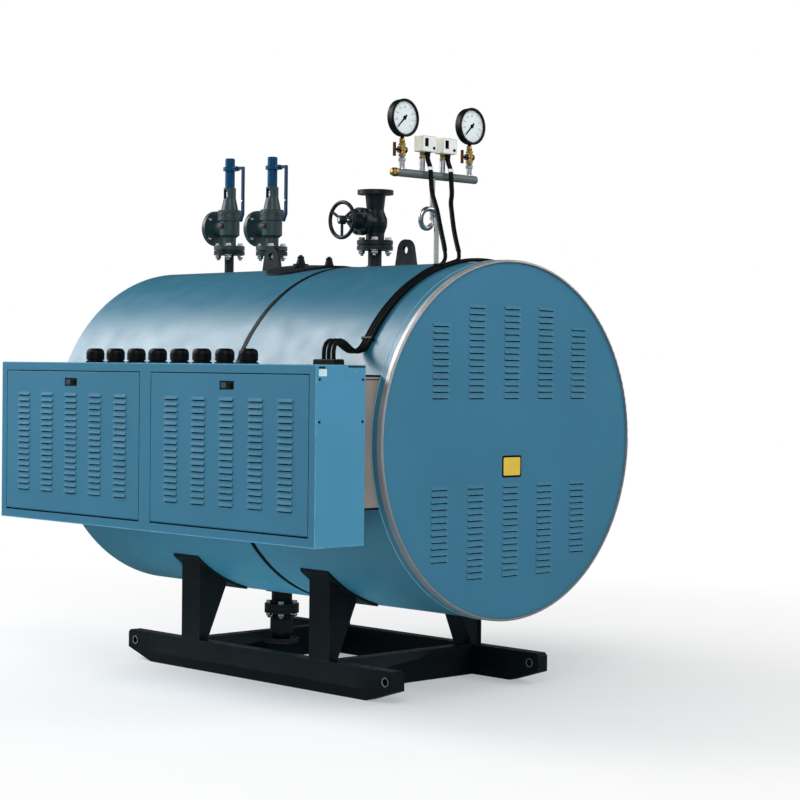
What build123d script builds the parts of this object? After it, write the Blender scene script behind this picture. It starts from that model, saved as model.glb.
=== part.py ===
from build123d import *
import os
from math import cos, radians, sin, sqrt, tan

# Electric steam boiler: a horizontal jacketed drum on a skid, with a long terminal box on one side.
# Lengths are in millimetres, z is up, the drum lies along y and its front cover faces -y.
# The model is drawn with the drum's axis on x = 0 and shifted sideways when it is written,
# so that the origin ends up on the floor below the middle of the whole machine.

# Drum, jacket and covers
drum_r = 700.0
drum_length = 2076.0
axis_height = 1008.0
trim_proud = 1.0
skirt_wall = 3.0
jacket_wall = 4.0
skirt_depth = 30.0
trim_width = 25.0
trim_depth = 9.0
trim_round = 6.0
face_recess = 8.0
cover_sheet = 3.0
rear_flange = 26.0
seam_width = 24.0
seam_thick = 2.0

# Louvres pressed into the front cover and the doors
louvre_height = 13.0
louvre_out = 5.0
louvre_slot = 5.0
louvre_lip = 3.0
louvre_pitch = 24.6
cover_louvre = 87.0
cover_column_pitch = 195.0
cover_group_gap = 344.0
cover_rows = 15
cover_side_rows = 12
cover_columns = 5
door_louvre = 80.0
door_louvre_margin = 85.5
door_rows = 17
door_columns = 5

# Places along the drum, from its middle towards the rear, for a drum of the standard length
standard_length = 2076.0
cable_place = -845.0
manifold_place = -583.0
steam_place = -248.0
seam_place = -130.0
manhole_place = 125.0
drain_place = 320.0
safety_places = (812.0, 515.0)

# Terminal box
box_front_inset = 25.0
box_rear_inset = 47.0
box_depth = 238.0
box_height = 655.0
box_drop = 369.0
box_wall = 3.0
neck_reach = 60.0
neck_height = 494.0
neck_inset = 98.0
neck_lift = 3.0

# Doors of the terminal box
door_margin = 40.0
door_mullion = 78.0
door_border = 37.5
door_depth = 20.0
door_bevel = 2.0
door_sheet = 2.5
door_gap = 4.0
pivot_inset = 8.0
hinge_pin_r = 4.0
hinge_pin_reach = 10.0
pin_clearance = 0.3
latch_width = 86.0
latch_height = 34.0
latch_recess = 6.0
latch_wall = 2.0
latch_drop = 43.0

# Cable glands and the cable block on the box top
gland_r = 40.0
gland_count = 8
gland_pitch = 140.0
gland_height = 58.0
gland_shift = 8.0
# A gland's outline from the base up: share of its radius, share of its height
gland_shares = (
    (1.0, 0.0),
    (1.0, 0.09),
    (0.82, 0.11),
    (0.82, 0.19),
    (0.93, 0.22),
    (0.93, 0.68),
    (0.87, 0.83),
    (0.74, 0.94),
    (0.52, 1.0),
)
block_length = 112.0
block_width = 50.0
block_height = 20.0
block_inset = 68.0

# Lifting lugs
lug_width = 112.0
lug_height = 106.0
lug_thick = 18.0
lug_hole_r = 17.0
lug_hole_height = 62.0
lug_top_r = 44.0
lug_valve_gap = 56.0
lug_manhole_gap = 44.0

# Manhole on the crown
manhole_across = 450.0
manhole_along = 364.0
manhole_rim = 30.0
manhole_thick = 9.0
lid_gap = 0.5
crab_spacing = 162.0
crab_width = 30.0
crab_height = 8.0
crab_end = 4.0
crab_flat = 34.0
crab_washer_r = 33.0
crab_washer = 6.0
crab_boss_r = 20.0
crab_boss = 20.0
crab_nut_r = 15.0
crab_nut_height = 12.0
crab_stud_r = 8.0
crab_stud_out = 6.0

# Flanges: radius, bolt circle and thickness for the three pipe sizes
flange_r = 75.0
flange_pcd = 110.0
outlet_flange_r = 80.0
outlet_flange_pcd = 125.0
small_flange_r = 70.0
small_flange_pcd = 100.0
flange_thick = 20.0
bolt_hole_r = 9.0
bolt_count = 4
raised_face = 2.0
raised_face_r = 44.0
outlet_face_r = 50.0
small_raised_face_r = 39.0

# Steam outlet stop valve
steam_pipe_r = 28.5
steam_nozzle = 68.0
steam_length = 230.0
steam_stem_height = 95.0
steam_neck_r = 38.0
steam_throat_r = 43.0
steam_globe_r = 51.0
# The globe's outline from below: share of its radius outward, share of it above or below the stem
steam_globe_shares = (
    (0.76, -0.9),
    (0.86, -0.62),
    (0.97, -0.3),
    (1.0, 0.0),
    (0.97, 0.3),
    (0.83, 0.62),
    (0.70, 0.98),
)
steam_bore_r = 25.0
steam_bore_depth = 60.0
branch_r = 36.0
branch_reach = 68.0
bonnet_flange_r = 57.0
bonnet_flange_thick = 14.0
bonnet_reach = 60.0
bonnet_nose_r = 22.0
bonnet_shoulder_share = 0.6
bonnet_taper_share = 0.7
stem_r = 9.0
stem_clearance = 0.3
wheel_r = 80.0
wheel_offset = 186.0
wheel_rim_r = 8.0
wheel_hub_r = 18.0
wheel_hub_width = 24.0
wheel_spoke_r = 6.0
wheel_spokes = 3

# Safety valves
safety_x = 88.0
safety_nozzles = (86.0, 74.0)
safety_pipe_r = 21.0
safety_neck_r = 30.5
safety_neck = 50.0
safety_body_r = 46.0
safety_body = 66.0
safety_outlet_r = 37.0
safety_outlet_reach = 104.0
safety_outlet_bore_r = 25.0
safety_outlet_depth = 40.0
safety_ring_r = 54.0
safety_ring = 39.0
safety_ring_groove = 3.0
safety_bonnet_r = 28.0
safety_bonnet = 109.0
safety_bonnet_wall = 5.0
safety_foot_r = 40.0
safety_foot = 62.0
safety_window = 43.0
safety_window_width = 28.0
safety_spindle_r = 7.0
safety_cap_r = 22.0
safety_cap = 134.0
safety_collar_r = 31.0
safety_collar = 16.0
safety_collar_height = 78.0
ear_reach = 46.0
ear_thick = 6.0
ear_r = 11.0
lever_thick = 10.0
lever_width = 13.0
lever_pin_r = 4.0
lever_out = 93.0
lever_drop = 240.0
lever_hook = 16.0
lever_gap = 0.5

# Siphon, manifold, cocks, gauges and switches
siphon_r = 10.5
siphon_loop_r = 38.0
siphon_pitch = 25.0
siphon_loop_height = 181.0
manifold_height = 356.0
manifold_r = 16.5
manifold_left = 210.0
manifold_right = 246.0
plug_length = 16.0
plug_r = 14.0
stub_r = 10.5
stub_height = 48.0
stub_xs_gauge = (-173.0, 210.0)
stub_xs_switch = (-60.0, 55.0)
cock_height = 52.0
cock_r = 13.0
cock_plug_r = 11.0
cock_plug_length = 40.0
handle_bar_r = 4.0
handle_length = 54.0
handle_stem_r = 5.0
handle_stem = 22.0
gauge_r = 74.0
gauge_depth = 38.0
gauge_bezel = 9.0
gauge_recess = 7.0
gauge_shank_r = 8.0
gauge_shank = 26.0
switch_width = 80.0
switch_height = 63.0
switch_depth = 48.0
switch_forward = 8.0
switch_shift = 10.0
switch_shank_r = 9.0
switch_shank = 26.0
switch_round = 5.0
window_width = 21.0
window_height = 34.0
window_depth = 2.0
window_shift = -17.0
knob_r = 4.5
knob_height = 5.0
knob_shift = 23.0
window_height_share = 0.58
knob_height_share = 0.25
cable_side = 7.0
cable_forward = 13.0

# Cables
cable_r = 7.8
cable_lift = 0.4
cable_spread = 16.4
cable_entry_spread = 26.0
bend_share = 0.45
tie_width = 9.0
tie_thick = 2.0
tie_gap = 2.0
exit_length = 34.0
exit_width = 30.0
exit_height = 24.0
exit_angle = -30.0
exit_run = 75.0
tie_angles = (18.0, 57.0)
wrap_start = 61.0
wrap_step = 13.0
# Cables from the block to the jacket: sideways, share of the way to their lane on the drum, up
cable_hump = (
    (0.0, 0.0, 0.0),
    (0.0, 0.0, 34.0),
    (14.0, 0.06, 58.0),
    (48.0, 0.22, 70.0),
    (98.0, 0.45, 64.0),
    (150.0, 0.68, 42.0),
    (203.0, 0.90, 27.0),
)
# Switch cables from the jacket to below the manifold: sideways, back from the bundle, up from the crown
left_rise = (
    (-185.0, 17.0, -14.0),
    (-158.0, 27.0, 10.0),
    (-142.0, 50.0, 56.0),
    (-104.0, 112.0, 136.0),
    (-72.0, 163.0, 211.0),
)
right_rise = (
    (-84.0, 27.0, 34.0),
    (-62.0, 61.0, 71.0),
    (-22.0, 117.0, 128.0),
    (14.0, 163.0, 188.0),
    (42.0, 200.0, 248.0),
)
# The last stretch up to a switch, from its inlet: sideways, along the drum, up
cable_fall = (
    (-10.0, -36.0, -165.0),
    (0.0, -20.0, -98.0),
    (0.0, -17.0, -62.0),
    (0.0, 0.0, -29.0),
    (0.0, 0.0, 0.0),
)

# Skid, legs and saddle pads
skid_width = 868.0
skid_length = 1686.0
runner_height = 126.0
runner_width = 53.0
nose_length = 160.0
nose_rise = 50.0
nose_chamfer = 12.0
sleeve_r = 22.5
sleeve_bore_r = 14.0
sleeve_inset = 50.0
sleeve_height = 83.0
sleeve_proud = 2.0
leg_width = 118.0
leg_spacing = 818.0
leg_plate = 10.0
leg_web_inset = 6.0
leg_top_depth = 153.0
leg_knee_drop = 653.0
pad_thick = 10.0
pad_width = 164.0
pad_outer_x = 462.0
pad_inner_x = 190.0

# Drain under the drum
drain_collar_r = 45.0
drain_collar = 56.0
drain_rosette_r = 70.0
drain_rosette = 5.0
drain_valve_length = 150.0
drain_body_r = 50.0
drain_body_share = 0.5
drain_neck_r = 36.0
drain_bore_r = 25.0
drain_bore_depth = 40.0
drain_stem_r = 11.0
drain_stem_reach = 74.0

# Cuts run this far past the faces they go through
overrun = 5.0

# Values worked out from the sizes above
skirt_r = drum_r - trim_proud
jacket_r = skirt_r - skirt_wall
jacket_inner_r = jacket_r - jacket_wall
layout = drum_length / standard_length
cable_y = layout * cable_place
manifold_y = layout * manifold_place
steam_y = layout * steam_place
seam_offset = layout * seam_place
manhole_y = layout * manhole_place
drain_y = layout * drain_place
safety_ys = tuple(layout * place for place in safety_places)
front_y = -drum_length / 2
rear_y = drum_length / 2
face_y = front_y + face_recess
trim_back_y = front_y + trim_width
skirt_back_y = trim_back_y + skirt_depth
crown_z = axis_height + jacket_r
keel_z = axis_height - jacket_r
leg_knee_height = axis_height - leg_knee_drop
box_back_x = -(drum_r + neck_reach)
box_face_x = box_back_x - box_depth
box_bottom_z = axis_height - box_drop
box_top_z = box_bottom_z + box_height
box_mid_x = (box_back_x + box_face_x) / 2
box_mid_z = (box_bottom_z + box_top_z) / 2
box_length = drum_length - box_front_inset - box_rear_inset
box_front_y = front_y + box_front_inset
box_shift = box_front_y + box_length / 2
neck_length = drum_length - 2 * neck_inset
door_width = (box_length - door_mullion) / 2 - door_margin
door_height = box_height - 2 * door_border
door_pitch = door_width + door_mullion
door_column_pitch = (door_width - 2 * door_louvre_margin - door_louvre) / (door_columns - 1)
door_bottom_z = box_mid_z - door_height / 2
pivot_x = box_face_x + pivot_inset
pivot_z = door_bottom_z + pivot_inset
axis_shift = -(box_face_x - louvre_out + drum_r) / 2
manifold_z = crown_z + manifold_height
steam_base_z = crown_z + steam_nozzle + flange_thick
steam_stem_z = steam_base_z + steam_stem_height
stub_top_z = manifold_z + manifold_r + stub_height
cock_top_z = stub_top_z + cock_height
gauge_z = cock_top_z + gauge_shank + gauge_r

LOW = (Align.CENTER, Align.CENTER, Align.MIN)
UP = (0, 0, 1)
DOWN = (0, 0, -1)
BACK = (0, 1, 0)
FRONT = (0, -1, 0)
LEFT = (-1, 0, 0)
RIGHT = (1, 0, 0)


def rod(start, direction, radius, length):
    """A round bar that starts at a point and runs along a direction."""
    return Plane(origin=start, z_dir=direction) * Cylinder(radius, length, align=LOW)


def pipe(start, direction, outer, inner, length):
    """A round bar with a hole along its whole length."""
    return rod(start, direction, outer, length) - rod(start, direction, inner, length)


def turned(outline, origin, direction):
    """A solid turned about a direction from (radius, height) points."""
    face = make_face(Polyline(*outline, close=True))
    return Plane(origin=origin, z_dir=direction) * revolve(Plane.XZ * face, Axis.Z)


def block(low, high):
    """A box between two opposite corners."""
    size = [b - a for a, b in zip(low, high)]
    middle = [(a + b) / 2 for a, b in zip(low, high)]
    return Pos(*middle) * Box(*size)


def drum_core(radius):
    """A cylinder on the drum's axis, longer than the drum, that cuts seats and rings."""
    return rod((0, -drum_length, axis_height), BACK, radius, 2 * drum_length)


def surface_z(x, radius):
    """Height of the drum's upper side at a distance from its axis."""
    return axis_height + sqrt(radius**2 - x**2)


def bolt_circle(pcd, centre, direction, depth):
    """The four holes of a flange, straddling its centre lines."""
    holes = PolarLocations(pcd / 2, bolt_count, start_angle=180 / bolt_count)
    drill = Cylinder(bolt_hole_r, 2 * (depth + overrun))
    plane = Plane(origin=centre, z_dir=direction)
    return [plane * place * drill for place in holes]


def louvre(centre, outward, along, length):
    """One pressed hood: a wedge that leans out from the sheet towards its lower edge."""
    start = Vector(*centre) - Vector(*along) * (length / 2)
    plane = Plane(origin=start, x_dir=outward, z_dir=along)
    half = louvre_height / 2
    outline = make_face(Polyline((0, half), (louvre_out, -half), (0, -half), close=True))
    return extrude(plane * outline, length)


def louvre_mouth(centre, outward, along, length):
    """The slot through the sheet below a hood."""
    run = length - 2 * louvre_lip
    start = Vector(*centre) - Vector(*along) * (run / 2)
    plane = Plane(origin=start, x_dir=outward, z_dir=along)
    middle = -(louvre_height + louvre_slot) / 2
    return extrude(plane * Pos(0, middle) * Rectangle(4 * overrun, louvre_slot), run)


def jacket(start_y, end_y):
    """A half of the sheet jacket."""
    return pipe((0, start_y, axis_height), BACK, jacket_r, jacket_inner_r, end_y - start_y)


def seam_band():
    """The band over the joint of the two jacket halves."""
    return seam_ring(jacket_r)


def seam_ring(inner):
    """The band's full ring, down to an inner radius."""
    start = (0, seam_offset - seam_width / 2, axis_height)
    return pipe(start, BACK, jacket_r + seam_thick, inner, seam_width)


def cover_louvre_places():
    """Middles of the front cover's louvres: two banks with shorter outer columns."""
    places = []
    for column in range(cover_columns):
        x = (column - (cover_columns - 1) / 2) * cover_column_pitch
        rows = cover_side_rows if column in (0, cover_columns - 1) else cover_rows
        for row in range(rows):
            rise = cover_group_gap / 2 + row * louvre_pitch
            places += [(x, face_y, axis_height - rise), (x, face_y, axis_height + rise)]
    return places


def front_cover():
    """A pan-shaped cover: skirt over the jacket, seat for the trim and a louvred face."""
    seat_r = drum_r - trim_depth
    inner_r = seat_r - cover_sheet
    step_y = trim_back_y + cover_sheet
    outline = [
        (jacket_r, skirt_back_y),
        (skirt_r, skirt_back_y),
        (skirt_r, trim_back_y),
        (seat_r, trim_back_y),
        (seat_r, face_y),
        (0, face_y),
        (0, face_y + cover_sheet),
        (inner_r, face_y + cover_sheet),
        (inner_r, step_y),
        (jacket_r, step_y),
    ]
    pan = turned(outline, (0, 0, axis_height), BACK)
    places = cover_louvre_places()
    pan += [louvre(place, FRONT, LEFT, cover_louvre) for place in places]
    return pan - [louvre_mouth(place, FRONT, LEFT, cover_louvre) for place in places]


def front_trim():
    """The bright ring round the edge of the front cover."""
    seat_r = drum_r - trim_depth
    ring = pipe((0, front_y, axis_height), BACK, drum_r, seat_r, trim_width)
    edge = ring.edges().filter_by(GeomType.CIRCLE).sort_by(Axis.Y)[:2].sort_by(SortBy.RADIUS)[-1]
    return fillet(edge, trim_round)


def rear_cover():
    """A flanged end plate inside the rear of the jacket."""
    outline = [
        (0, rear_y),
        (jacket_inner_r, rear_y),
        (jacket_inner_r, rear_y - rear_flange),
        (jacket_inner_r - cover_sheet, rear_y - rear_flange),
        (jacket_inner_r - cover_sheet, rear_y - cover_sheet),
        (0, rear_y - cover_sheet),
    ]
    return turned(outline, (0, 0, axis_height), BACK)


def box_plates():
    """Top, bottom, back and end sheets of the terminal box."""
    y0 = box_front_y
    y1 = box_front_y + box_length
    inner_y0 = y0 + box_wall
    inner_y1 = y1 - box_wall
    low_z = box_bottom_z + box_wall
    high_z = box_top_z - box_wall
    back = block((box_back_x - box_wall, inner_y0, low_z), (box_back_x, inner_y1, high_z))
    ends = [
        block((box_face_x, y0, low_z), (box_back_x, inner_y0, high_z)),
        block((box_face_x, inner_y1, low_z), (box_back_x, y1, high_z)),
    ]
    top = block((box_face_x, y0, high_z), (box_back_x, y1, box_top_z))
    bottom = block((box_face_x, y0, box_bottom_z), (box_back_x, y1, low_z))
    return {"box_top": top, "box_bottom": bottom, "box_back": back, "box_ends": Compound(ends)}


def door_middles():
    """Where the front and rear doors stand along the box."""
    return {"door_front": box_shift - door_pitch / 2, "door_rear": box_shift + door_pitch / 2}


def box_frame():
    """The front of the box: a frame with two openings and the pins that the doors turn on."""
    low = (box_face_x, box_front_y + box_wall, box_bottom_z + box_wall)
    high = (box_face_x + door_depth, box_front_y + box_length - box_wall, box_top_z - box_wall)
    frame = block(low, high)
    for middle in door_middles().values():
        half = door_width / 2 + door_gap
        opening_low = (box_face_x - overrun, middle - half, door_bottom_z - door_gap)
        opening_high = (low[0] + door_depth + overrun, middle + half, door_bottom_z + door_height + door_gap)
        frame -= block(opening_low, opening_high)
    for middle in door_middles().values():
        for side in (-1, 1):
            start = (pivot_x, middle + side * (door_width / 2 + door_gap), pivot_z)
            frame += rod(start, (0, -side, 0), hinge_pin_r, door_gap + hinge_pin_reach)
    return frame


def door(middle):
    """A drop-down door: a folded pan with a rolled lower edge, a latch cup and louvres."""
    low = (box_face_x, middle - door_width / 2, door_bottom_z)
    high = (box_face_x + door_depth, middle + door_width / 2, door_bottom_z + door_height)
    pan = block(low, high)
    roll = pan.edges().filter_by(Axis.Y).sort_by(Axis.X)[:2].sort_by(Axis.Z)[0]
    pan = fillet(roll, pivot_inset)
    brim = pan.edges().filter_by(Axis.Y).sort_by(Axis.Z)[-2:].sort_by(Axis.X)[0]
    pan = chamfer(brim, door_bevel)
    hollow_low = (low[0] + door_sheet, low[1] + door_sheet, low[2] + pivot_inset + hinge_pin_r + door_sheet)
    hollow_high = (high[0] + overrun, high[1] - door_sheet, high[2] - door_sheet)
    pan -= block(hollow_low, hollow_high)
    for side in (-1, 1):
        start = (pivot_x, middle + side * (door_width / 2 + overrun), pivot_z)
        reach = overrun + hinge_pin_reach + door_gap
        pan -= rod(start, (0, -side, 0), hinge_pin_r + pin_clearance, reach)
    latch_z = high[2] - latch_drop
    cup_deep = latch_recess + latch_wall
    cup_half_y = latch_width / 2 + latch_wall
    cup_half_z = latch_height / 2 + latch_wall
    pan += block(
        (low[0] + door_sheet / 2, middle - cup_half_y, latch_z - cup_half_z),
        (low[0] + cup_deep, middle + cup_half_y, latch_z + cup_half_z),
    )
    pan -= block(
        (low[0] - overrun, middle - latch_width / 2, latch_z - latch_height / 2),
        (low[0] + latch_recess, middle + latch_width / 2, latch_z + latch_height / 2),
    )
    places = []
    for column in range(door_columns):
        y = middle + (column - (door_columns - 1) / 2) * door_column_pitch
        for row in range(door_rows):
            z = box_mid_z + (row - (door_rows - 1) / 2) * louvre_pitch
            places.append((box_face_x, y, z))
    pan += [louvre(place, LEFT, BACK, door_louvre) for place in places]
    return pan - [louvre_mouth(place, LEFT, BACK, door_louvre) for place in places]


def box_neck():
    """The closed neck that carries the box on the drum's side."""
    middle_z = axis_height + neck_lift
    neck = block(
        (box_back_x, -neck_length / 2, middle_z - neck_height / 2),
        (0, neck_length / 2, middle_z + neck_height / 2),
    )
    return neck - drum_core(jacket_r) - seam_ring(jacket_inner_r)


def gland(y):
    """A sealed cable gland: base ring, waist and domed nut."""
    outline = [(gland_r * out, gland_height * up) for out, up in gland_shares]
    return turned([(0, 0)] + outline + [(0, gland_height)], (box_mid_x, y, box_top_z), UP)


def cable_glands():
    """The row of glands along the box top."""
    first = box_shift + gland_shift - (gland_count - 1) / 2 * gland_pitch
    return Compound([gland(first + number * gland_pitch) for number in range(gland_count)])


def entry_y(number):
    """Where a cable comes out of the block on the box top."""
    return box_front_y + block_inset + (number - 1) * cable_entry_spread


def cable_block():
    """The block that takes the cables through the box top."""
    y = box_front_y + block_inset
    body = Pos(box_mid_x, y, box_top_z) * Box(block_width, block_length, block_height, align=LOW)
    return chamfer(body.edges().group_by(Axis.Z)[-1], block_height / 5)


def on_drum(angle, y, lift):
    """A point over the jacket, by its angle from the top towards the box."""
    reach = jacket_r + lift
    return (-reach * sin(radians(angle)), y, axis_height + reach * cos(radians(angle)))


def bend_radii(points):
    """An arc for each corner of a route, as large as its two runs allow."""
    radii = []
    for before, corner, after in zip(points, points[1:], points[2:]):
        run_in = Vector(*corner) - Vector(*before)
        run_out = Vector(*after) - Vector(*corner)
        half_turn = radians(run_in.get_angle(run_out)) / 2
        radii.append(bend_share * min(run_in.length, run_out.length) / tan(half_turn))
    return radii


def tube(points, radius):
    """A round tube along straight runs and tangent arcs."""
    path = FilletPolyline(*points, radius=bend_radii(points))
    section = Plane(origin=path @ 0, z_dir=path % 0) * Circle(radius)
    return sweep(section, path=path)


def lane_y(number):
    """Where a cable lies along the drum."""
    return cable_y + (number - 1) * cable_spread


def cable_wrap(number, count):
    """Corners that lay a cable round the jacket in even steps towards the crown."""
    reach = jacket_r + cable_r + cable_lift
    bulge = reach / cos(radians(wrap_step / 2)) - jacket_r
    return [on_drum(wrap_start - step * wrap_step, lane_y(number), bulge) for step in range(count)]


def cable_start(number):
    """The stretch from the block up and over to the jacket."""
    y = entry_y(number)
    base = box_top_z + block_height
    sway = lane_y(number) - y
    return [(box_mid_x + side, y + part * sway, base + up) for side, part, up in cable_hump]


def cable_rise(route):
    """A switch cable's stretch from the jacket to below the manifold."""
    return [(side, cable_y + layout * back, crown_z + up) for side, back, up in route]


def cable_top(x):
    """Where a cable comes into the bottom of a switch."""
    return (x + switch_shift + cable_side, manifold_y - cable_forward, stub_top_z + switch_shank)


def cable_drop(x):
    """The stretch of a cable just below its switch, in front of the manifold."""
    top_x, top_y, top_z = cable_top(x)
    return [(top_x + side, top_y + back, top_z + up) for side, back, up in cable_fall]


def left_cable():
    """From the block, round the jacket and up to the left switch."""
    return cable_start(2) + cable_wrap(2, 4) + cable_rise(left_rise) + cable_drop(stub_xs_switch[0])


def right_cable():
    """From the block, round the jacket to near its top and up to the right switch."""
    return cable_start(1) + cable_wrap(1, 5) + cable_rise(right_rise) + cable_drop(stub_xs_switch[1])


def level_cable():
    """The third cable, which goes on over the crown to the fitting on the far side."""
    return cable_start(0) + cable_wrap(0, 7) + exit_route()


def exit_plane():
    """The plane on the jacket where the third cable goes in, with z outward and x towards the crown."""
    point = on_drum(exit_angle, cable_y - cable_spread, 0)
    outward = Vector(*point) - Vector(0, cable_y - cable_spread, axis_height)
    return Plane(origin=point, x_dir=outward.cross(Vector(*BACK)), z_dir=outward)


def exit_block():
    """The small fitting on the far side of the crown where the third cable ends."""
    body = Box(exit_length, exit_width, exit_height + overrun, align=LOW)
    fitting = exit_plane() * Pos(0, 0, -overrun) * body - drum_core(jacket_r)
    return fitting


def exit_route():
    """The last straight run of the third cable, square to the fitting's face."""
    face = exit_length / 2
    return [
        tuple(exit_plane().from_local_coords(Vector(place, 0, cable_r + cable_lift)))
        for place in (face + exit_run, face)
    ]


def cable_ties():
    """Straps that hold the bundle to the jacket at the crown and above the box."""
    straps = []
    reach = jacket_r + 2 * (cable_r + cable_lift)
    half = cable_spread + cable_r + tie_gap + tie_thick
    for angle in tie_angles:
        centre = on_drum(angle, cable_y, 2 * (cable_r + cable_lift) + tie_gap)
        plane = Plane(origin=centre, x_dir=BACK, z_dir=Vector(*centre) - Vector(0, cable_y, axis_height))
        strap = plane * Box(2 * half, tie_width, tie_thick, align=LOW)
        for side in (-1, 1):
            place = plane * Pos(side * (half - tie_thick / 2), 0, tie_thick)
            strap += place * Box(
                tie_thick, tie_width, reach, align=(Align.CENTER, Align.CENTER, Align.MAX)
            )
        straps.append(strap - drum_core(jacket_r))
    return Compound(straps)


def lifting_lug(y):
    """A lug plate welded along the crown, with a rounded top and an eye."""
    base_z = crown_z - overrun
    top = Pos(y, crown_z + lug_height - lug_top_r) * Circle(lug_top_r)
    foot = Pos(y, base_z + overrun) * Rectangle(lug_width, 2 * overrun)
    outline = make_hull(top.edges() + foot.edges()) - Pos(y, crown_z + lug_hole_height) * Circle(lug_hole_r)
    plate = extrude(Plane.YZ * outline, lug_thick / 2, both=True)
    return plate - drum_core(jacket_r)


def lifting_lugs():
    """The two lugs, one near each end of the drum."""
    front = steam_y - flange_r - lug_valve_gap - lug_width / 2
    rear = manhole_y + manhole_along / 2 + lug_manhole_gap + lug_width / 2
    return Compound([lifting_lug(front), lifting_lug(rear)])


def oval(across, along):
    """The manhole's oval outline, drawn over its middle."""
    return Pos(0, manhole_y) * Ellipse(across / 2, along / 2)


def crown_shell(outline, thick):
    """A plate of the given outline that follows the crown."""
    column = extrude(Pos(0, 0, axis_height) * outline, 2 * jacket_r)
    return (column & drum_core(jacket_r + thick)) - drum_core(jacket_r)


def manhole_ring():
    """The oval frame of the manhole."""
    inside = oval(manhole_across - 2 * manhole_rim, manhole_along - 2 * manhole_rim)
    return crown_shell(oval(manhole_across, manhole_along) - inside, manhole_thick)


def manhole_lid():
    """The lid inside the oval frame."""
    rim = manhole_rim + lid_gap
    return crown_shell(oval(manhole_across - 2 * rim, manhole_along - 2 * rim), manhole_thick)


def crab(x):
    """A low arched bridge over the lid and its frame, with a boss, a stud and a nut."""
    plate_r = jacket_r + manhole_thick
    plate_z = surface_z(x, plate_r)
    top_z = plate_z + crab_height
    reach = manhole_along / 2 * sqrt(1 - (2 * x / manhole_across) ** 2) - manhole_rim / 2
    outline = Polyline(
        (manhole_y - reach, axis_height),
        (manhole_y - reach, plate_z + crab_end),
        (manhole_y - crab_flat, top_z),
        (manhole_y + crab_flat, top_z),
        (manhole_y + reach, plate_z + crab_end),
        (manhole_y + reach, axis_height),
        close=True,
    )
    bridge = Pos(x, 0, 0) * extrude(Plane.YZ * make_face(outline), crab_width / 2, both=True)
    boss_top = crab_washer + crab_boss
    boss_outline = [
        (0, -crab_height),
        (crab_washer_r, -crab_height),
        (crab_washer_r, crab_washer),
        (crab_boss_r, crab_washer),
        (crab_nut_r, boss_top),
        (0, boss_top),
    ]
    bridge += turned(boss_outline, (x, manhole_y, top_z), UP)
    nut_z = top_z + boss_top
    bridge += Pos(x, manhole_y, nut_z) * extrude(RegularPolygon(crab_nut_r, 6), crab_nut_height)
    bridge += rod((x, manhole_y, nut_z), UP, crab_stud_r, crab_nut_height + crab_stud_out)
    return bridge - drum_core(plate_r)


def manhole_clamps():
    """Both bridges."""
    return Compound([crab(side * crab_spacing / 2) for side in (-1, 1)])


def nozzle(x, y, radius, height, rim_r, face_r, pcd):
    """A pipe stub on the crown with a raised-face flange on top."""
    stub = rod((x, y, axis_height), UP, radius, crown_z + height - axis_height)
    base = (x, y, crown_z + height - flange_thick)
    flange = rod(base, UP, rim_r, flange_thick - raised_face) + rod(base, UP, face_r, flange_thick)
    return (stub - drum_core(jacket_r)) + (flange - bolt_circle(pcd, base, UP, flange_thick))


def valve_nozzles():
    """The stubs of the stop valve and of the two safety valves."""
    height = steam_nozzle + flange_thick
    stubs = [nozzle(0, steam_y, steam_pipe_r, height, flange_r, raised_face_r, flange_pcd)]
    for y, stub in zip(safety_ys, safety_nozzles):
        height = stub + flange_thick
        rim = (small_flange_r, small_raised_face_r, small_flange_pcd)
        stubs.append(nozzle(safety_x, y, safety_pipe_r, height, *rim))
    return Compound(stubs)


def steam_valve_body():
    """The stop valve's body: two flanges, a swollen globe and a branch for the bonnet."""
    globe = [
        (steam_globe_r * out, steam_stem_height + steam_globe_r * up) for out, up in steam_globe_shares
    ]
    outline = [
        (0, 0),
        (raised_face_r, 0),
        (raised_face_r, raised_face),
        (flange_r, raised_face),
        (flange_r, flange_thick),
        (steam_neck_r, flange_thick),
        *globe,
        (steam_throat_r, steam_length - flange_thick),
        (flange_r, steam_length - flange_thick),
        (flange_r, steam_length - raised_face),
        (raised_face_r, steam_length - raised_face),
        (raised_face_r, steam_length),
        (0, steam_length),
    ]
    body = turned(outline, (0, steam_y, steam_base_z), UP)
    body += rod((0, steam_y, steam_stem_z), LEFT, branch_r, branch_reach)
    seat = (-branch_reach, steam_y, steam_stem_z)
    body += rod(seat, LEFT, bonnet_flange_r, bonnet_flange_thick)
    for place in (steam_base_z, steam_base_z + steam_length - flange_thick):
        body -= bolt_circle(flange_pcd, (0, steam_y, place), UP, flange_thick)
    outlet = (0, steam_y, steam_base_z + steam_length + overrun)
    return body - rod(outlet, DOWN, steam_bore_r, steam_bore_depth + overrun)


def steam_valve_bonnet():
    """The bonnet: flange, tapered neck and gland nose, bored for the stem."""
    start = branch_reach + bonnet_flange_thick
    outline = [
        (stem_r + stem_clearance, 0),
        (bonnet_flange_r, 0),
        (bonnet_flange_r, bonnet_flange_thick),
        (bonnet_shoulder_share * bonnet_flange_r, bonnet_flange_thick),
        (bonnet_nose_r, bonnet_taper_share * bonnet_reach),
        (bonnet_nose_r, bonnet_reach),
        (stem_r + stem_clearance, bonnet_reach),
    ]
    return turned(outline, (-start, steam_y, steam_stem_z), LEFT)


def steam_valve_stem():
    """The stem, which slides in the bonnet and carries the handwheel."""
    start = branch_reach + bonnet_flange_thick
    length = wheel_offset + wheel_hub_width / 2 + stem_r - start - stem_clearance
    return rod((-start - stem_clearance, steam_y, steam_stem_z), LEFT, stem_r, length)


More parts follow.
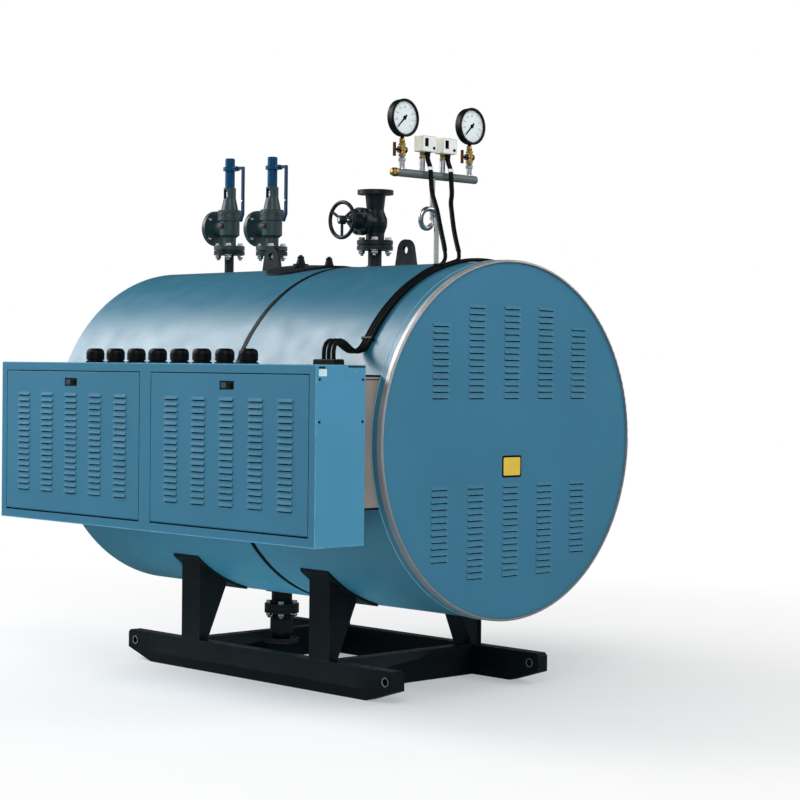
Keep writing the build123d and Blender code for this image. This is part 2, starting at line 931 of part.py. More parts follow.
def steam_valve_handwheel():
    """The handwheel: a round rim, a hub and three spokes."""
    middle = (-wheel_offset, steam_y, steam_stem_z)
    plane = Plane(origin=middle, x_dir=BACK, z_dir=LEFT)
    rim_path_r = wheel_r - wheel_rim_r
    wheel = plane * Torus(rim_path_r, wheel_rim_r)
    wheel += plane * Cylinder(wheel_hub_r, wheel_hub_width)
    for number in range(wheel_spokes):
        spoke = Rot(0, 0, number * 360 / wheel_spokes + 90) * Rot(0, 90, 0)
        wheel += plane * spoke * Cylinder(wheel_spoke_r, rim_path_r, align=LOW)
    return wheel - plane * Cylinder(stem_r + stem_clearance, 2 * wheel_hub_width)


def safety_base_z(y):
    """Height of a safety valve's inlet face."""
    return crown_z + dict(zip(safety_ys, safety_nozzles))[y] + flange_thick


def safety_heights(y):
    """Heights of a safety valve's body, ring, bonnet, cap and top."""
    body = safety_base_z(y) + flange_thick + safety_neck
    ring = body + safety_body
    bonnet = ring + safety_ring
    cap = bonnet + safety_bonnet
    return body, ring, bonnet, cap, cap + safety_cap


def safety_body_solid(y):
    """Inlet flange, neck, body, bonnet rings and the outlet branch."""
    base = safety_base_z(y)
    body_z, ring_z, bonnet_z, cap_z, top_z = (height - base for height in safety_heights(y))
    groove = (ring_z + bonnet_z) / 2
    outline = [
        (0, 0),
        (small_raised_face_r, 0),
        (small_raised_face_r, raised_face),
        (small_flange_r, raised_face),
        (small_flange_r, flange_thick),
        (safety_neck_r, flange_thick),
        (safety_neck_r, body_z - safety_neck / 4),
        (safety_body_r, body_z),
        (safety_body_r, ring_z),
        (safety_ring_r, ring_z),
        (safety_ring_r, groove - safety_ring_groove / 2),
        (safety_ring_r - safety_ring_groove, groove - safety_ring_groove / 2),
        (safety_ring_r - safety_ring_groove, groove + safety_ring_groove / 2),
        (safety_ring_r, groove + safety_ring_groove / 2),
        (safety_ring_r, bonnet_z),
        (0, bonnet_z),
    ]
    body = turned(outline, (safety_x, y, base), UP)
    branch_z = base + (body_z + ring_z) / 2
    body += rod((safety_x, y, branch_z), BACK, safety_outlet_r, safety_outlet_reach - raised_face)
    flange_start = (safety_x, y + safety_outlet_reach - raised_face - flange_thick, branch_z)
    body += rod(flange_start, BACK, outlet_flange_r, flange_thick)
    body += rod(flange_start, BACK, outlet_face_r, flange_thick + raised_face)
    body -= bolt_circle(outlet_flange_pcd, flange_start, BACK, flange_thick)
    body -= bolt_circle(small_flange_pcd, (safety_x, y, base), UP, flange_thick)
    mouth = (safety_x, y + safety_outlet_reach + overrun, branch_z)
    return body - rod(mouth, FRONT, safety_outlet_bore_r, safety_outlet_depth + overrun)


def safety_bonnet_solid(y):
    """The bonnet: a tapered foot and a hollow top with a window on each side and the spindle inside."""
    body_z, ring_z, bonnet_z, cap_z, top_z = safety_heights(y)
    height = cap_z - bonnet_z
    outline = [
        (0, 0),
        (safety_foot_r, 0),
        (safety_foot_r, safety_bonnet_wall),
        (safety_bonnet_r, safety_foot),
        (safety_bonnet_r, height),
        (0, height),
    ]
    shell = turned(outline, (safety_x, y, bonnet_z), UP)
    hollow = height - safety_foot
    floor = (safety_x, y, bonnet_z + safety_foot - safety_bonnet_wall)
    shell -= rod(floor, UP, safety_bonnet_r - safety_bonnet_wall, hollow)
    slot = SlotOverall(safety_window, safety_window_width, rotation=90)
    window = Pos(y, floor[2] + hollow / 2) * slot
    shell -= Pos(safety_x, 0, 0) * extrude(Plane.YZ * window, safety_foot_r + overrun, both=True)
    return shell + rod(floor, UP, safety_spindle_r, hollow)


def lever_pivot(y):
    """Where a lever turns in the ear of its cap."""
    cap_z = safety_heights(y)[3]
    return (safety_x, y - ear_reach, cap_z + safety_collar_height + safety_collar / 2)


def safety_cap_solid(y):
    """The cap: a tube with a collar and a forked ear that holds the lever's pin."""
    body_z, ring_z, bonnet_z, cap_z, top_z = safety_heights(y)
    collar_top = safety_collar_height + safety_collar
    outline = [
        (0, 0),
        (safety_cap_r, 0),
        (safety_cap_r, safety_collar_height),
        (safety_collar_r, safety_collar_height),
        (safety_collar_r, collar_top),
        (safety_cap_r, collar_top),
        (safety_cap_r, safety_cap - safety_collar / 4),
        (safety_cap_r - safety_collar / 4, safety_cap),
        (0, safety_cap),
    ]
    cap = turned(outline, (safety_x, y, cap_z), UP)
    px, py, pz = lever_pivot(y)
    inner = lever_thick / 2 + lever_gap
    for side in (-1, 1):
        low_x = px + side * inner
        high_x = px + side * (inner + ear_thick)
        cap += block(
            (min(low_x, high_x), py, pz - safety_collar / 2),
            (max(low_x, high_x), y - safety_cap_r / 2, pz + safety_collar / 2),
        )
        cap += rod((low_x, py, pz), (side, 0, 0), ear_r, ear_thick)
    pin_length = 2 * (inner + ear_thick / 2)
    return cap + rod((px - pin_length / 2, py, pz), RIGHT, lever_pin_r, pin_length)


def safety_lever(y):
    """The lifting lever: an eye on the pin, a short arm and a long drop with a hooked end."""
    px, py, pz = lever_pivot(y)
    out_y = y - lever_out
    end_z = pz - lever_drop
    half = lever_width / 2
    line = Polyline(
        (py, pz),
        (out_y, pz),
        (out_y, end_z + 2 * lever_hook),
        (out_y + lever_hook, end_z),
    )
    shape = trace(line, lever_width)
    shape += Pos(py, pz) * Circle(ear_r)
    shape -= Pos(py, pz) * Circle(lever_pin_r + pin_clearance)
    corner = shape.vertices().sort_by(Axis.X)[:2].sort_by(Axis.Y)[-1]
    shape = fillet(corner, half)
    return Pos(px, 0, 0) * extrude(Plane.YZ * shape, lever_thick / 2, both=True)


def gauge_siphon():
    """The pipe from the crown to the manifold, with one full turn in it."""
    loop_z = crown_z + siphon_loop_height
    foot_y = manifold_y - siphon_pitch
    side = 2 * siphon_loop_r
    points = [
        (0, foot_y, axis_height),
        (0, foot_y, loop_z + siphon_loop_r),
        (-side, foot_y + siphon_pitch / 3, loop_z + siphon_loop_r),
        (-side, foot_y + 2 * siphon_pitch / 3, loop_z - siphon_loop_r),
        (0, manifold_y, loop_z - siphon_loop_r),
        (0, manifold_y, manifold_z),
    ]
    cross = rod((-manifold_left, manifold_y, manifold_z), RIGHT, manifold_r, manifold_left + manifold_right)
    return tube(points, siphon_r) - drum_core(jacket_r) - cross


def gauge_manifold():
    """The cross bar with a plug at one end and a stub under each instrument."""
    bar = rod((-manifold_left, manifold_y, manifold_z), RIGHT, manifold_r, manifold_left + manifold_right)
    bar += rod((-manifold_left, manifold_y, manifold_z), LEFT, plug_r, plug_length)
    for x in stub_xs_gauge + stub_xs_switch:
        bar += rod((x, manifold_y, manifold_z), UP, stub_r, manifold_r + stub_height)
    return bar


def gauge_cock(x):
    """A small cock: body, cross plug and a bored end for its handle."""
    body = rod((x, manifold_y, stub_top_z), UP, cock_r, cock_height)
    middle_z = stub_top_z + cock_height / 2
    body += Pos(x, manifold_y, middle_z) * Rot(0, 90, 0) * Cylinder(cock_plug_r, cock_plug_length)
    bore_start = (x - cock_plug_length, manifold_y, middle_z)
    return body - rod(bore_start, RIGHT, handle_stem_r + pin_clearance, cock_plug_length)


def cock_handle(x):
    """The tee handle that turns a cock."""
    middle_z = stub_top_z + cock_height / 2
    start = (x - cock_plug_length / 2 - handle_stem, manifold_y, middle_z)
    stem = rod(start, RIGHT, handle_stem_r, handle_stem + cock_plug_length / 2 - pin_clearance)
    return stem + Pos(*start) * Cylinder(handle_bar_r + handle_stem_r / 2, handle_length)


def pressure_gauge(x):
    """A dial gauge: shank, case and a bezel round the recessed dial."""
    shank = rod((x, manifold_y, cock_top_z), UP, gauge_shank_r, gauge_shank + gauge_r)
    outline = [
        (0, 0),
        (gauge_r - gauge_bezel, 0),
        (gauge_r, gauge_bezel),
        (gauge_r, gauge_depth),
        (gauge_r - gauge_bezel, gauge_depth),
        (gauge_r - gauge_bezel, gauge_depth - gauge_recess),
        (0, gauge_depth - gauge_recess),
    ]
    return shank + turned(outline, (x, manifold_y + gauge_depth / 2, gauge_z), FRONT)


def pressure_switch(x):
    """A pressure switch: shank and a housing with a window and a knob."""
    middle_x = x + switch_shift
    middle_y = manifold_y - switch_forward
    shank = rod((x, manifold_y, stub_top_z), UP, switch_shank_r, switch_shank + switch_round)
    base = stub_top_z + switch_shank
    housing = Pos(middle_x, middle_y, base) * Box(switch_width, switch_depth, switch_height, align=LOW)
    housing = fillet(housing.edges().filter_by(Axis.Y), switch_round)
    face = middle_y - switch_depth / 2
    window_x = middle_x + window_shift
    window_z = base + window_height_share * switch_height
    housing -= block(
        (window_x - window_width / 2, face - overrun, window_z - window_height / 2),
        (window_x + window_width / 2, face + window_depth, window_z + window_height / 2),
    )
    knob_z = base + knob_height_share * switch_height
    return shank + housing + rod((middle_x + knob_shift, face, knob_z), FRONT, knob_r, knob_height)


def runner_x(side):
    """Middle of a runner."""
    return side * (skid_width - runner_width) / 2


def skid_runners():
    """The straight part of both runners."""
    length = skid_length - 2 * nose_length
    return Compound(
        [Pos(runner_x(side), 0, 0) * Box(runner_width, length, runner_height, align=LOW) for side in (-1, 1)]
    )


def skid_nose(side, end):
    """An end of a runner: swept up below, with a pulling sleeve through it."""
    near = skid_length / 2 - nose_length
    far = skid_length / 2
    outline = make_face(
        Polyline(
            (end * near, 0),
            (end * far, nose_rise),
            (end * far, runner_height - nose_chamfer),
            (end * (far - nose_chamfer), runner_height),
            (end * near, runner_height),
            close=True,
        )
    )
    nose = extrude(Plane.YZ * outline, runner_width / 2, both=True)
    centre = Pos(0, end * (far - sleeve_inset), sleeve_height) * Rot(0, 90, 0)
    nose += centre * Cylinder(sleeve_r, runner_width + 2 * sleeve_proud)
    nose -= centre * Cylinder(sleeve_bore_r, runner_width + 2 * sleeve_proud + overrun)
    return Pos(runner_x(side), 0, 0) * nose


def skid_noses():
    """The four runner ends."""
    return Compound([skid_nose(side, end) for side in (-1, 1) for end in (-1, 1)])


def cross_members():
    """The two beams between the runners, flush with the legs."""
    inner = skid_width / 2 - runner_width
    outer_y = (leg_spacing + leg_width) / 2
    beams = []
    for end in (-1, 1):
        y = end * (outer_y - runner_width / 2)
        beams.append(Pos(0, y, 0) * Box(2 * inner, runner_width, runner_height, align=LOW))
    return Compound(beams)


def leg(side, end):
    """A tapered leg with an outer plate and a curved saddle pad under the drum."""
    outer = skid_width / 2
    bottom_inner = outer - runner_width
    top_inner = outer - leg_top_depth
    y = end * leg_spacing / 2
    outline = make_face(
        Polyline(
            (side * outer, runner_height),
            (side * bottom_inner, runner_height),
            (side * top_inner, leg_knee_height),
            (side * top_inner, axis_height),
            (side * outer, axis_height),
            close=True,
        )
    )
    body = Pos(0, y, 0) * extrude(Plane.XZ * outline, leg_width / 2 - leg_web_inset, both=True)
    plate_middle = side * (outer - leg_plate / 2)
    plate_height = axis_height - runner_height
    body += Pos(plate_middle, y, runner_height) * Box(leg_plate, leg_width, plate_height, align=LOW)
    body -= drum_core(jacket_r + pad_thick)
    low_x = min(side * pad_outer_x, side * pad_inner_x)
    high_x = max(side * pad_outer_x, side * pad_inner_x)
    column = block((low_x, y - pad_width / 2, 0), (high_x, y + pad_width / 2, axis_height))
    pad = (column & drum_core(jacket_r + pad_thick)) - drum_core(jacket_r)
    return body + pad


def legs(end):
    """The pair of legs at one end."""
    return Compound([leg(side, end) for side in (-1, 1)])


def drain_nozzle():
    """The collar under the drum, with a thin rosette and a flange."""
    collar = rod((0, drain_y, axis_height), DOWN, drain_collar_r, axis_height - keel_z + drain_collar)
    rosette = rod((0, drain_y, axis_height), DOWN, drain_rosette_r, axis_height - keel_z + drain_rosette)
    rosette &= drum_core(jacket_r + drain_rosette)
    flange_top = (0, drain_y, keel_z - drain_collar)
    flange = rod(flange_top, DOWN, flange_r, flange_thick)
    flange -= bolt_circle(flange_pcd, flange_top, DOWN, flange_thick)
    return (collar + rosette - drum_core(jacket_r)) + flange


def drain_valve():
    """The drain valve below the collar: two flanges, a round body and a stem."""
    top_z = keel_z - drain_collar - flange_thick
    middle = drain_valve_length / 2
    outline = [
        (0, 0),
        (flange_r, 0),
        (flange_r, flange_thick),
        (drain_neck_r, flange_thick),
        (drain_body_r, middle - drain_body_share * drain_body_r),
        (drain_body_r, middle + drain_body_share * drain_body_r),
        (drain_neck_r, drain_valve_length - flange_thick),
        (flange_r, drain_valve_length - flange_thick),
        (flange_r, drain_valve_length),
        (0, drain_valve_length),
    ]
    body = turned(outline, (0, drain_y, top_z), DOWN)
    low_flange = (0, drain_y, top_z - drain_valve_length + flange_thick)
    for place in ((0, drain_y, top_z), low_flange):
        body -= bolt_circle(flange_pcd, place, DOWN, flange_thick)
    mouth = (0, drain_y, top_z - drain_valve_length - overrun)
    body -= rod(mouth, UP, drain_bore_r, drain_bore_depth + overrun)
    return body + rod((0, drain_y, top_z - middle), RIGHT, drain_stem_r, drain_stem_reach)


def build_nodes():
    """Every piece by name."""
    jacket_start = trim_back_y + cover_sheet
    middles = door_middles()
    nodes = {
        "jacket_front": jacket(jacket_start, seam_offset),
        "jacket_rear": jacket(seam_offset, rear_y),
        "seam_band": seam_band(),
        "front_cover": front_cover(),
        "front_trim": front_trim(),
        "rear_cover": rear_cover(),
        "box_frame": box_frame(),
        "box_neck": box_neck(),
        "door_front": door(middles["door_front"]),
        "door_rear": door(middles["door_rear"]),
        "cable_glands": cable_glands(),
        "cable_block": cable_block(),
        "switch_cable_left": tube(left_cable(), cable_r),
        "switch_cable_right": tube(right_cable(), cable_r),
        "level_cable": tube(level_cable(), cable_r),
        "exit_block": exit_block(),
        "cable_ties": cable_ties(),
        "lifting_lugs": lifting_lugs(),
        "manhole_ring": manhole_ring(),
        "manhole_lid": manhole_lid(),
        "manhole_clamps": manhole_clamps(),
        "valve_nozzles": valve_nozzles(),
        "steam_valve_body": steam_valve_body(),
        "steam_valve_bonnet": steam_valve_bonnet(),
        "steam_valve_stem": steam_valve_stem(),
        "steam_valve_handwheel": steam_valve_handwheel(),
        "gauge_siphon": gauge_siphon(),
        "gauge_manifold": gauge_manifold(),
        "gauge_cocks": Compound([gauge_cock(x) for x in stub_xs_gauge]),
        "cock_handle_left": cock_handle(stub_xs_gauge[0]),
        "cock_handle_right": cock_handle(stub_xs_gauge[1]),
        "pressure_gauges": Compound([pressure_gauge(x) for x in stub_xs_gauge]),
        "pressure_switches": Compound([pressure_switch(x) for x in stub_xs_switch]),
        "skid_runners": skid_runners(),
        "skid_noses": skid_noses(),
        "cross_members": cross_members(),
        "front_legs": legs(-1),
        "rear_legs": legs(1),
        "drain_nozzle": drain_nozzle(),
        "drain_valve": drain_valve(),
    }
    nodes.update(box_plates())
    for label, y in zip(("rear", "front"), safety_ys):
        nodes[f"safety_body_{label}"] = safety_body_solid(y)
        nodes[f"safety_bonnet_{label}"] = safety_bonnet_solid(y)
        nodes[f"safety_cap_{label}"] = safety_cap_solid(y)
        nodes[f"safety_lever_{label}"] = safety_lever(y)
    return nodes


os.makedirs("parts", exist_ok=True)
for name, solid in build_nodes().items():
    export_step(Pos(axis_shift, 0, 0) * solid, f"parts/{name}.step")
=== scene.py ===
import math

import bmesh
import bpy
from mathutils import Matrix, Vector


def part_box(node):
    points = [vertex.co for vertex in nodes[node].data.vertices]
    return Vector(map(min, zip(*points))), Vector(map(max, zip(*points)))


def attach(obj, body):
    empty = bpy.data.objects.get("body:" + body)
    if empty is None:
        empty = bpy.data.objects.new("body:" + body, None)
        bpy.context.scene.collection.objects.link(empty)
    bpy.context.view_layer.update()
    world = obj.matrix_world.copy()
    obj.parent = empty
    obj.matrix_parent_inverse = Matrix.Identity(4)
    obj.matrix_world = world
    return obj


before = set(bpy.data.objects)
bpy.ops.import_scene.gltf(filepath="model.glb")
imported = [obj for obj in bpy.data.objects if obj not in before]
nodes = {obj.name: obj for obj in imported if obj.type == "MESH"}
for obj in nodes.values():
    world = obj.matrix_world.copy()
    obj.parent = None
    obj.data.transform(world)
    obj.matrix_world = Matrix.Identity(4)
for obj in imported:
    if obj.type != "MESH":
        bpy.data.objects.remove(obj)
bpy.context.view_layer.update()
scene = bpy.context.scene

# Places and sizes are in metres in the part's own frame: z is up and the front cover faces -y.
MM = 0.001
UP = Vector((0, 0, 1))
DOWN = Vector((0, 0, -1))
LEFT = Vector((-1, 0, 0))
RIGHT = Vector((1, 0, 0))
FRONT = Vector((0, -1, 0))
BACK = Vector((0, 1, 0))


def middle(node):
    """The centre of a node's box."""
    low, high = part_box(node)
    return (low + high) / 2


# Drum
drum_low, drum_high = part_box("jacket_front")
axis_x = (drum_low.x + drum_high.x) / 2
axis_z = (drum_low.z + drum_high.z) / 2
jacket_r = (drum_high.x - drum_low.x) / 2
trim_proud = 8 * MM
drum_segments = 160

# Door louvres and latch pockets
louvre_out = 5 * MM
latch_recess = 6 * MM
latch_drop = 43 * MM

# Flanges of the two pipe sizes and the stubs under them
flange_thick = 20 * MM
flange_bolt = 16 * MM
flange_pcd = 110 * MM
small_flange_pcd = 100 * MM
steam_nozzle_r = 30 * MM
safety_nozzle_r = 23 * MM
weld_r = 4 * MM

# Stop valve
steam_joint_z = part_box("steam_valve_body")[0].z
stem_middle = middle("steam_valve_stem")
steam_y = stem_middle.y

# Gauges, switches and the manifold that carries them
manifold_low, manifold_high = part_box("gauge_manifold")
manifold_r = 16.5 * MM
manifold_y = (manifold_low.y + manifold_high.y) / 2
manifold_z = manifold_low.z + manifold_r
stub_top_z = manifold_high.z
stub_sleeve_inner, stub_sleeve_outer = 10.6 * MM, 11.4 * MM
union_drop = 20 * MM
gauge_low, gauge_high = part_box("pressure_gauges")
gauge_r = 74 * MM
gauge_bezel = 9 * MM
dial_r = gauge_r - gauge_bezel
dial_recess = 7 * MM
dial_thick = 1 * MM
dial_start = math.radians(225)
gauge_z = gauge_high.z - gauge_r
gauge_xs = (gauge_low.x + gauge_r, gauge_high.x - gauge_r)
switch_low, switch_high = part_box("pressure_switches")
switch_width = 80 * MM
switch_height = 63 * MM
switch_xs = (switch_low.x + switch_width / 2, switch_high.x - switch_width / 2)
switch_base_z = switch_high.z - switch_height
switch_face_y = switch_low.y + 5 * MM
switch_stub_shift = -10 * MM
switch_cable_shift = 7 * MM
switch_cable_forward = 13 * MM


# Materials

def srgb(red, green, blue):
    """The linear colour of an sRGB triple from 0 to 255."""
    shares = [value / 255 for value in (red, green, blue)]
    linear = [s / 12.92 if s <= 0.04045 else ((s + 0.055) / 1.055) ** 2.4 for s in shares]
    return (*linear, 1.0)


def scaled(colour, factor):
    """A colour made lighter or darker."""
    return (*(min(1.0, channel * factor) for channel in colour[:3]), 1.0)


def add(tree, kind, inputs=None, **settings):
    """A new shader node with its settings, constants and links."""
    made = tree.nodes.new("ShaderNode" + kind)
    for name, value in settings.items():
        setattr(made, name, value)
    for name, value in (inputs or {}).items():
        if isinstance(value, bpy.types.NodeSocket):
            tree.links.new(value, made.inputs[name])
        else:
            made.inputs[name].default_value = value
    return made


def noise(tree, place, scale, detail=4.0):
    """A cloudy value from 0 to 1 over the surface."""
    return add(tree, "TexNoise", {"Vector": place, "Scale": scale, "Detail": detail}).outputs["Fac"]


def spread(tree, value, low, high, start=0.3, end=0.7):
    """A value stretched to a new range."""
    inputs = {"Value": value, "From Min": start, "From Max": end, "To Min": low, "To Max": high}
    return add(tree, "MapRange", inputs).outputs["Result"]


def mix(tree, share, first, second):
    """Two colours mixed by a share."""
    return add(tree, "MixRGB", {"Fac": share, "Color1": first, "Color2": second}).outputs["Color"]


def times(tree, first, second):
    """The product of two values."""
    return add(tree, "Math", {0: first, 1: second}, operation="MULTIPLY").outputs["Value"]


def edge_share(tree, width):
    """A share that is high along sharp edges."""
    rounded = add(tree, "Bevel", {"Radius": width}, samples=4).outputs["Normal"]
    flat = add(tree, "NewGeometry").outputs["True Normal"]
    likeness = add(tree, "VectorMath", {0: rounded, 1: flat}, operation="DOT_PRODUCT").outputs["Value"]
    return spread(tree, likeness, 1.0, 0.0, 0.80, 0.985)


dust_tint = srgb(176, 172, 162)
# How dark the painted shade in recesses goes, as a share of the paint's colour
painted_shade_factor = 0.12
relief_depth = 0.6 * MM


def surface(name, colour, roughness, *, mottle, relief, metallic=0.0, specular=0.5, mottle_scale=2.5,
            grain=300.0, wear_and_highlight=None, wear_and_highlight_width=0.003, dust=0.0, painted_shade_reach=0.0, coat=0.0, coat_roughness=0.1):
    """A finish of cloudy colour, uneven gloss and fine relief; wear and painted highlight on edges, dust,
    painted shade in recesses.
    """
    made = bpy.data.materials.new(name)
    made.use_nodes = True
    tree = made.node_tree
    shader = tree.nodes["Principled BSDF"]
    place = add(tree, "TexCoord").outputs["Object"]
    clouds = spread(tree, noise(tree, place, mottle_scale, 6.0), 0.0, 1.0)
    tint = mix(tree, clouds, scaled(colour, 1 - mottle), scaled(colour, 1 + mottle))
    if dust:
        facing = add(tree, "SeparateXYZ", {0: add(tree, "NewGeometry").outputs["Normal"]}).outputs["Z"]
        patches = spread(tree, noise(tree, place, 24.0), 0.3, 1.0)
        lying = times(tree, spread(tree, facing, 0.0, dust, 0.55, 1.0), patches)
        tint = mix(tree, lying, tint, dust_tint)
    # Lighter edges: worn paint along sharp edges, and on the box and cover also a painted highlight along
    # edges and hoods
    if wear_and_highlight:
        patches = spread(tree, noise(tree, place, 60.0), 0.0, 1.0, 0.38, 0.62)
        tint = mix(tree, times(tree, edge_share(tree, wear_and_highlight_width), patches), tint, wear_and_highlight)
    # Painted shade: the colour darkens in recesses, creases and under the louvre hoods, where shade falls
    if painted_shade_reach:
        openness = add(tree, "AmbientOcclusion", {"Distance": painted_shade_reach}, samples=6).outputs["AO"]
        tint = mix(tree, spread(tree, openness, 0.0, 1.0, 0.36, 0.6), scaled(colour, painted_shade_factor), tint)
    tree.links.new(tint, shader.inputs["Base Color"])
    gloss = spread(tree, noise(tree, place, mottle_scale * 4), roughness * 0.82, roughness * 1.18)
    tree.links.new(gloss, shader.inputs["Roughness"])
    fine = noise(tree, place, grain)
    bump = add(tree, "Bump", {"Strength": relief, "Distance": relief_depth, "Height": fine})
    tree.links.new(bump.outputs["Normal"], shader.inputs["Normal"])
    shader.inputs["Metallic"].default_value = metallic
    shader.inputs["Specular IOR Level"].default_value = specular
    shader.inputs["Coat Weight"].default_value = coat
    shader.inputs["Coat Roughness"].default_value = coat_roughness
    return made


def clear_glass(name):
    """Thin clear glass that lets the dial show and still glints."""
    made = bpy.data.materials.new(name)
    made.use_nodes = True
    tree = made.node_tree
    tree.nodes.remove(tree.nodes["Principled BSDF"])
    place = add(tree, "TexCoord").outputs["Object"]
    smears = spread(tree, noise(tree, place, 40.0), 0.02, 0.09)
    outside = spread(tree, add(tree, "NewGeometry").outputs["Backfacing"], 1.0, 0.0, 0.0, 1.0)
    facing = times(tree, add(tree, "Fresnel", {"IOR": 1.12}).outputs["Fac"], outside)
    through = add(tree, "BsdfTransparent", {"Color": (0.96, 0.98, 0.98, 1.0)}).outputs["BSDF"]
    glint = add(tree, "BsdfGlossy", {"Roughness": smears}).outputs["BSDF"]
    both = add(tree, "MixShader", {"Fac": facing, 1: through, 2: glint})
    tree.links.new(both.outputs["Shader"], tree.nodes["Material Output"].inputs["Surface"])
    return made


# Paints
jacket_paint = surface("jacket_paint", srgb(40, 105, 129), 0.4, specular=0.5, mottle=0.03, relief=0.015,
                       coat=0.15, coat_roughness=0.3, wear_and_highlight=srgb(96, 150, 172))
# Cover and doors: painted shade in recesses and under the louvre hoods; the cover's pale edges are partly a
# painted highlight
cover_paint = surface("cover_paint", srgb(62, 121, 149), 0.6, specular=0.12, mottle=0.04, relief=0.05,
                      wear_and_highlight=srgb(138, 188, 206), painted_shade_reach=0.012)
door_paint = surface("door_paint", srgb(56, 113, 140), 0.6, specular=0.12, mottle=0.04, relief=0.05,
                     wear_and_highlight=srgb(98, 152, 176), painted_shade_reach=0.012)
# The box's wide pale edge lines are partly wear and partly a painted highlight
box_paint = surface("box_paint", srgb(75, 143, 176), 0.58, specular=0.14, mottle=0.04, relief=0.05,
                    wear_and_highlight=srgb(116, 178, 204), wear_and_highlight_width=0.004, dust=0.05)
# Pale paint for the beads round the drum: a painted highlight along the skirt's edge and the seam band
highlight_bead_paint = surface("highlight_bead_paint", srgb(118, 172, 194), 0.3, specular=0.5, mottle=0.05, relief=0.04)
lug_paint = surface("lug_paint", srgb(13, 27, 32), 0.5, specular=0.2, mottle=0.12, mottle_scale=9.0,
                    relief=0.12, wear_and_highlight=srgb(58, 80, 88))
neck_grey = surface("neck_grey", srgb(152, 142, 135), 0.55, specular=0.25, mottle=0.1, mottle_scale=6.0,
                    relief=0.15)
valve_dark = surface("valve_dark", srgb(10, 24, 30), 0.38, specular=0.28, mottle=0.18, mottle_scale=16.0,
                     grain=220.0, relief=0.3, wear_and_highlight=srgb(52, 64, 68))
safety_grey = surface("safety_grey", srgb(42, 63, 67), 0.38, specular=0.36, mottle=0.14, mottle_scale=18.0,
                      grain=240.0, relief=0.28, wear_and_highlight=srgb(120, 136, 138))
cap_blue = surface("cap_blue", srgb(0, 64, 102), 0.42, specular=0.14, mottle=0.12, mottle_scale=22.0,
                   relief=0.1, wear_and_highlight=srgb(20, 92, 132))
lever_navy = surface("lever_navy", srgb(0, 44, 76), 0.42, specular=0.14, mottle=0.12, mottle_scale=22.0,
                     relief=0.1, wear_and_highlight=srgb(16, 70, 106))
nozzle_grey = surface("nozzle_grey", srgb(18, 31, 34), 0.46, specular=0.25, mottle=0.14, mottle_scale=14.0,
                      relief=0.2, wear_and_highlight=srgb(74, 90, 94))
manifold_grey = surface("manifold_grey", srgb(96, 105, 106), 0.44, specular=0.35, mottle=0.12,
                        mottle_scale=20.0, relief=0.16, wear_and_highlight=srgb(140, 150, 150))
base_dark = surface("base_dark", srgb(12, 19, 22), 0.5, specular=0.18, mottle=0.16, mottle_scale=7.0,
                    grain=260.0, relief=0.25, wear_and_highlight=srgb(44, 54, 58), wear_and_highlight_width=0.004)
manhole_dark = surface("manhole_dark", srgb(8, 15, 19), 0.5, specular=0.16, mottle=0.16, mottle_scale=12.0,
                       relief=0.25, wear_and_highlight=srgb(50, 64, 70), dust=0.02)
cream = surface("cream", srgb(204, 203, 190), 0.5, specular=0.12, mottle=0.03, mottle_scale=12.0,
                relief=0.06, wear_and_highlight=srgb(236, 235, 228), wear_and_highlight_width=0.0015)
plate_yellow = surface("plate_yellow", srgb(226, 196, 74), 0.45, specular=0.25, mottle=0.04,
                       mottle_scale=18.0, relief=0.05)

# Metals
bright_steel = surface("bright_steel", srgb(184, 183, 183), 0.52, metallic=0.8, mottle=0.08,
                       mottle_scale=6.0, grain=900.0, relief=0.03)
pipe_steel = surface("pipe_steel", srgb(188, 192, 194), 0.24, metallic=1.0, mottle=0.1, mottle_scale=14.0,
                     grain=700.0, relief=0.05)
chrome = surface("chrome", srgb(182, 186, 190), 0.22, metallic=1.0, mottle=0.06, mottle_scale=60.0,
                 relief=0.02)
zinc = surface("zinc", srgb(222, 224, 225), 0.24, metallic=1.0, mottle=0.1, mottle_scale=40.0, relief=0.06)
brass = surface("brass", srgb(176, 142, 80), 0.36, metallic=1.0, mottle=0.16, mottle_scale=40.0, relief=0.1)
bronze = surface("bronze", srgb(84, 52, 28), 0.48, metallic=1.0, mottle=0.2, mottle_scale=40.0, relief=0.16)
screw_dark = surface("screw_dark", srgb(14, 34, 50), 0.45, specular=0.25, mottle=0.15, mottle_scale=60.0,
                     relief=0.1)

# Plastics, rubber, print and glass
band_black = surface("band_black", srgb(6, 8, 10), 0.5, specular=0.1, mottle=0.15, relief=0.08)
rubber_black = surface("rubber_black", srgb(6, 7, 8), 0.55, specular=0.1, mottle=0.2, mottle_scale=30.0,
                       relief=0.15)
plastic_black = surface("plastic_black", srgb(6, 7, 8), 0.42, specular=0.14, mottle=0.12, mottle_scale=20.0,
                        relief=0.08, wear_and_highlight=srgb(40, 42, 44), wear_and_highlight_width=0.0012)
copper_red = surface("copper_red", srgb(112, 50, 42), 0.5, specular=0.3, mottle=0.2, mottle_scale=60.0,
                     relief=0.2)
latch_grey = surface("latch_grey", srgb(66, 84, 94), 0.45, specular=0.3, mottle=0.08, mottle_scale=60.0,
                     relief=0.08)
white_ring = surface("white_ring", srgb(240, 241, 240), 0.45, specular=0.15, mottle=0.04, mottle_scale=40.0,
                     relief=0.06)
label_pale = surface("label_pale", srgb(204, 230, 236), 0.5, specular=0.2, mottle=0.06, mottle_scale=22.0,
                     relief=0.08)
dial_white = surface("dial_white", srgb(250, 252, 255), 0.6, specular=0.08, mottle=0.02, mottle_scale=20.0,
                     relief=0.02)
scale_grey = surface("scale_grey", srgb(84, 96, 112), 0.6, specular=0.05, mottle=0.15, mottle_scale=90.0,
                     relief=0.04)
ink = surface("ink", srgb(5, 5, 6), 0.6, specular=0.04, mottle=0.2, mottle_scale=90.0, relief=0.04)
glass = clear_glass("glass")

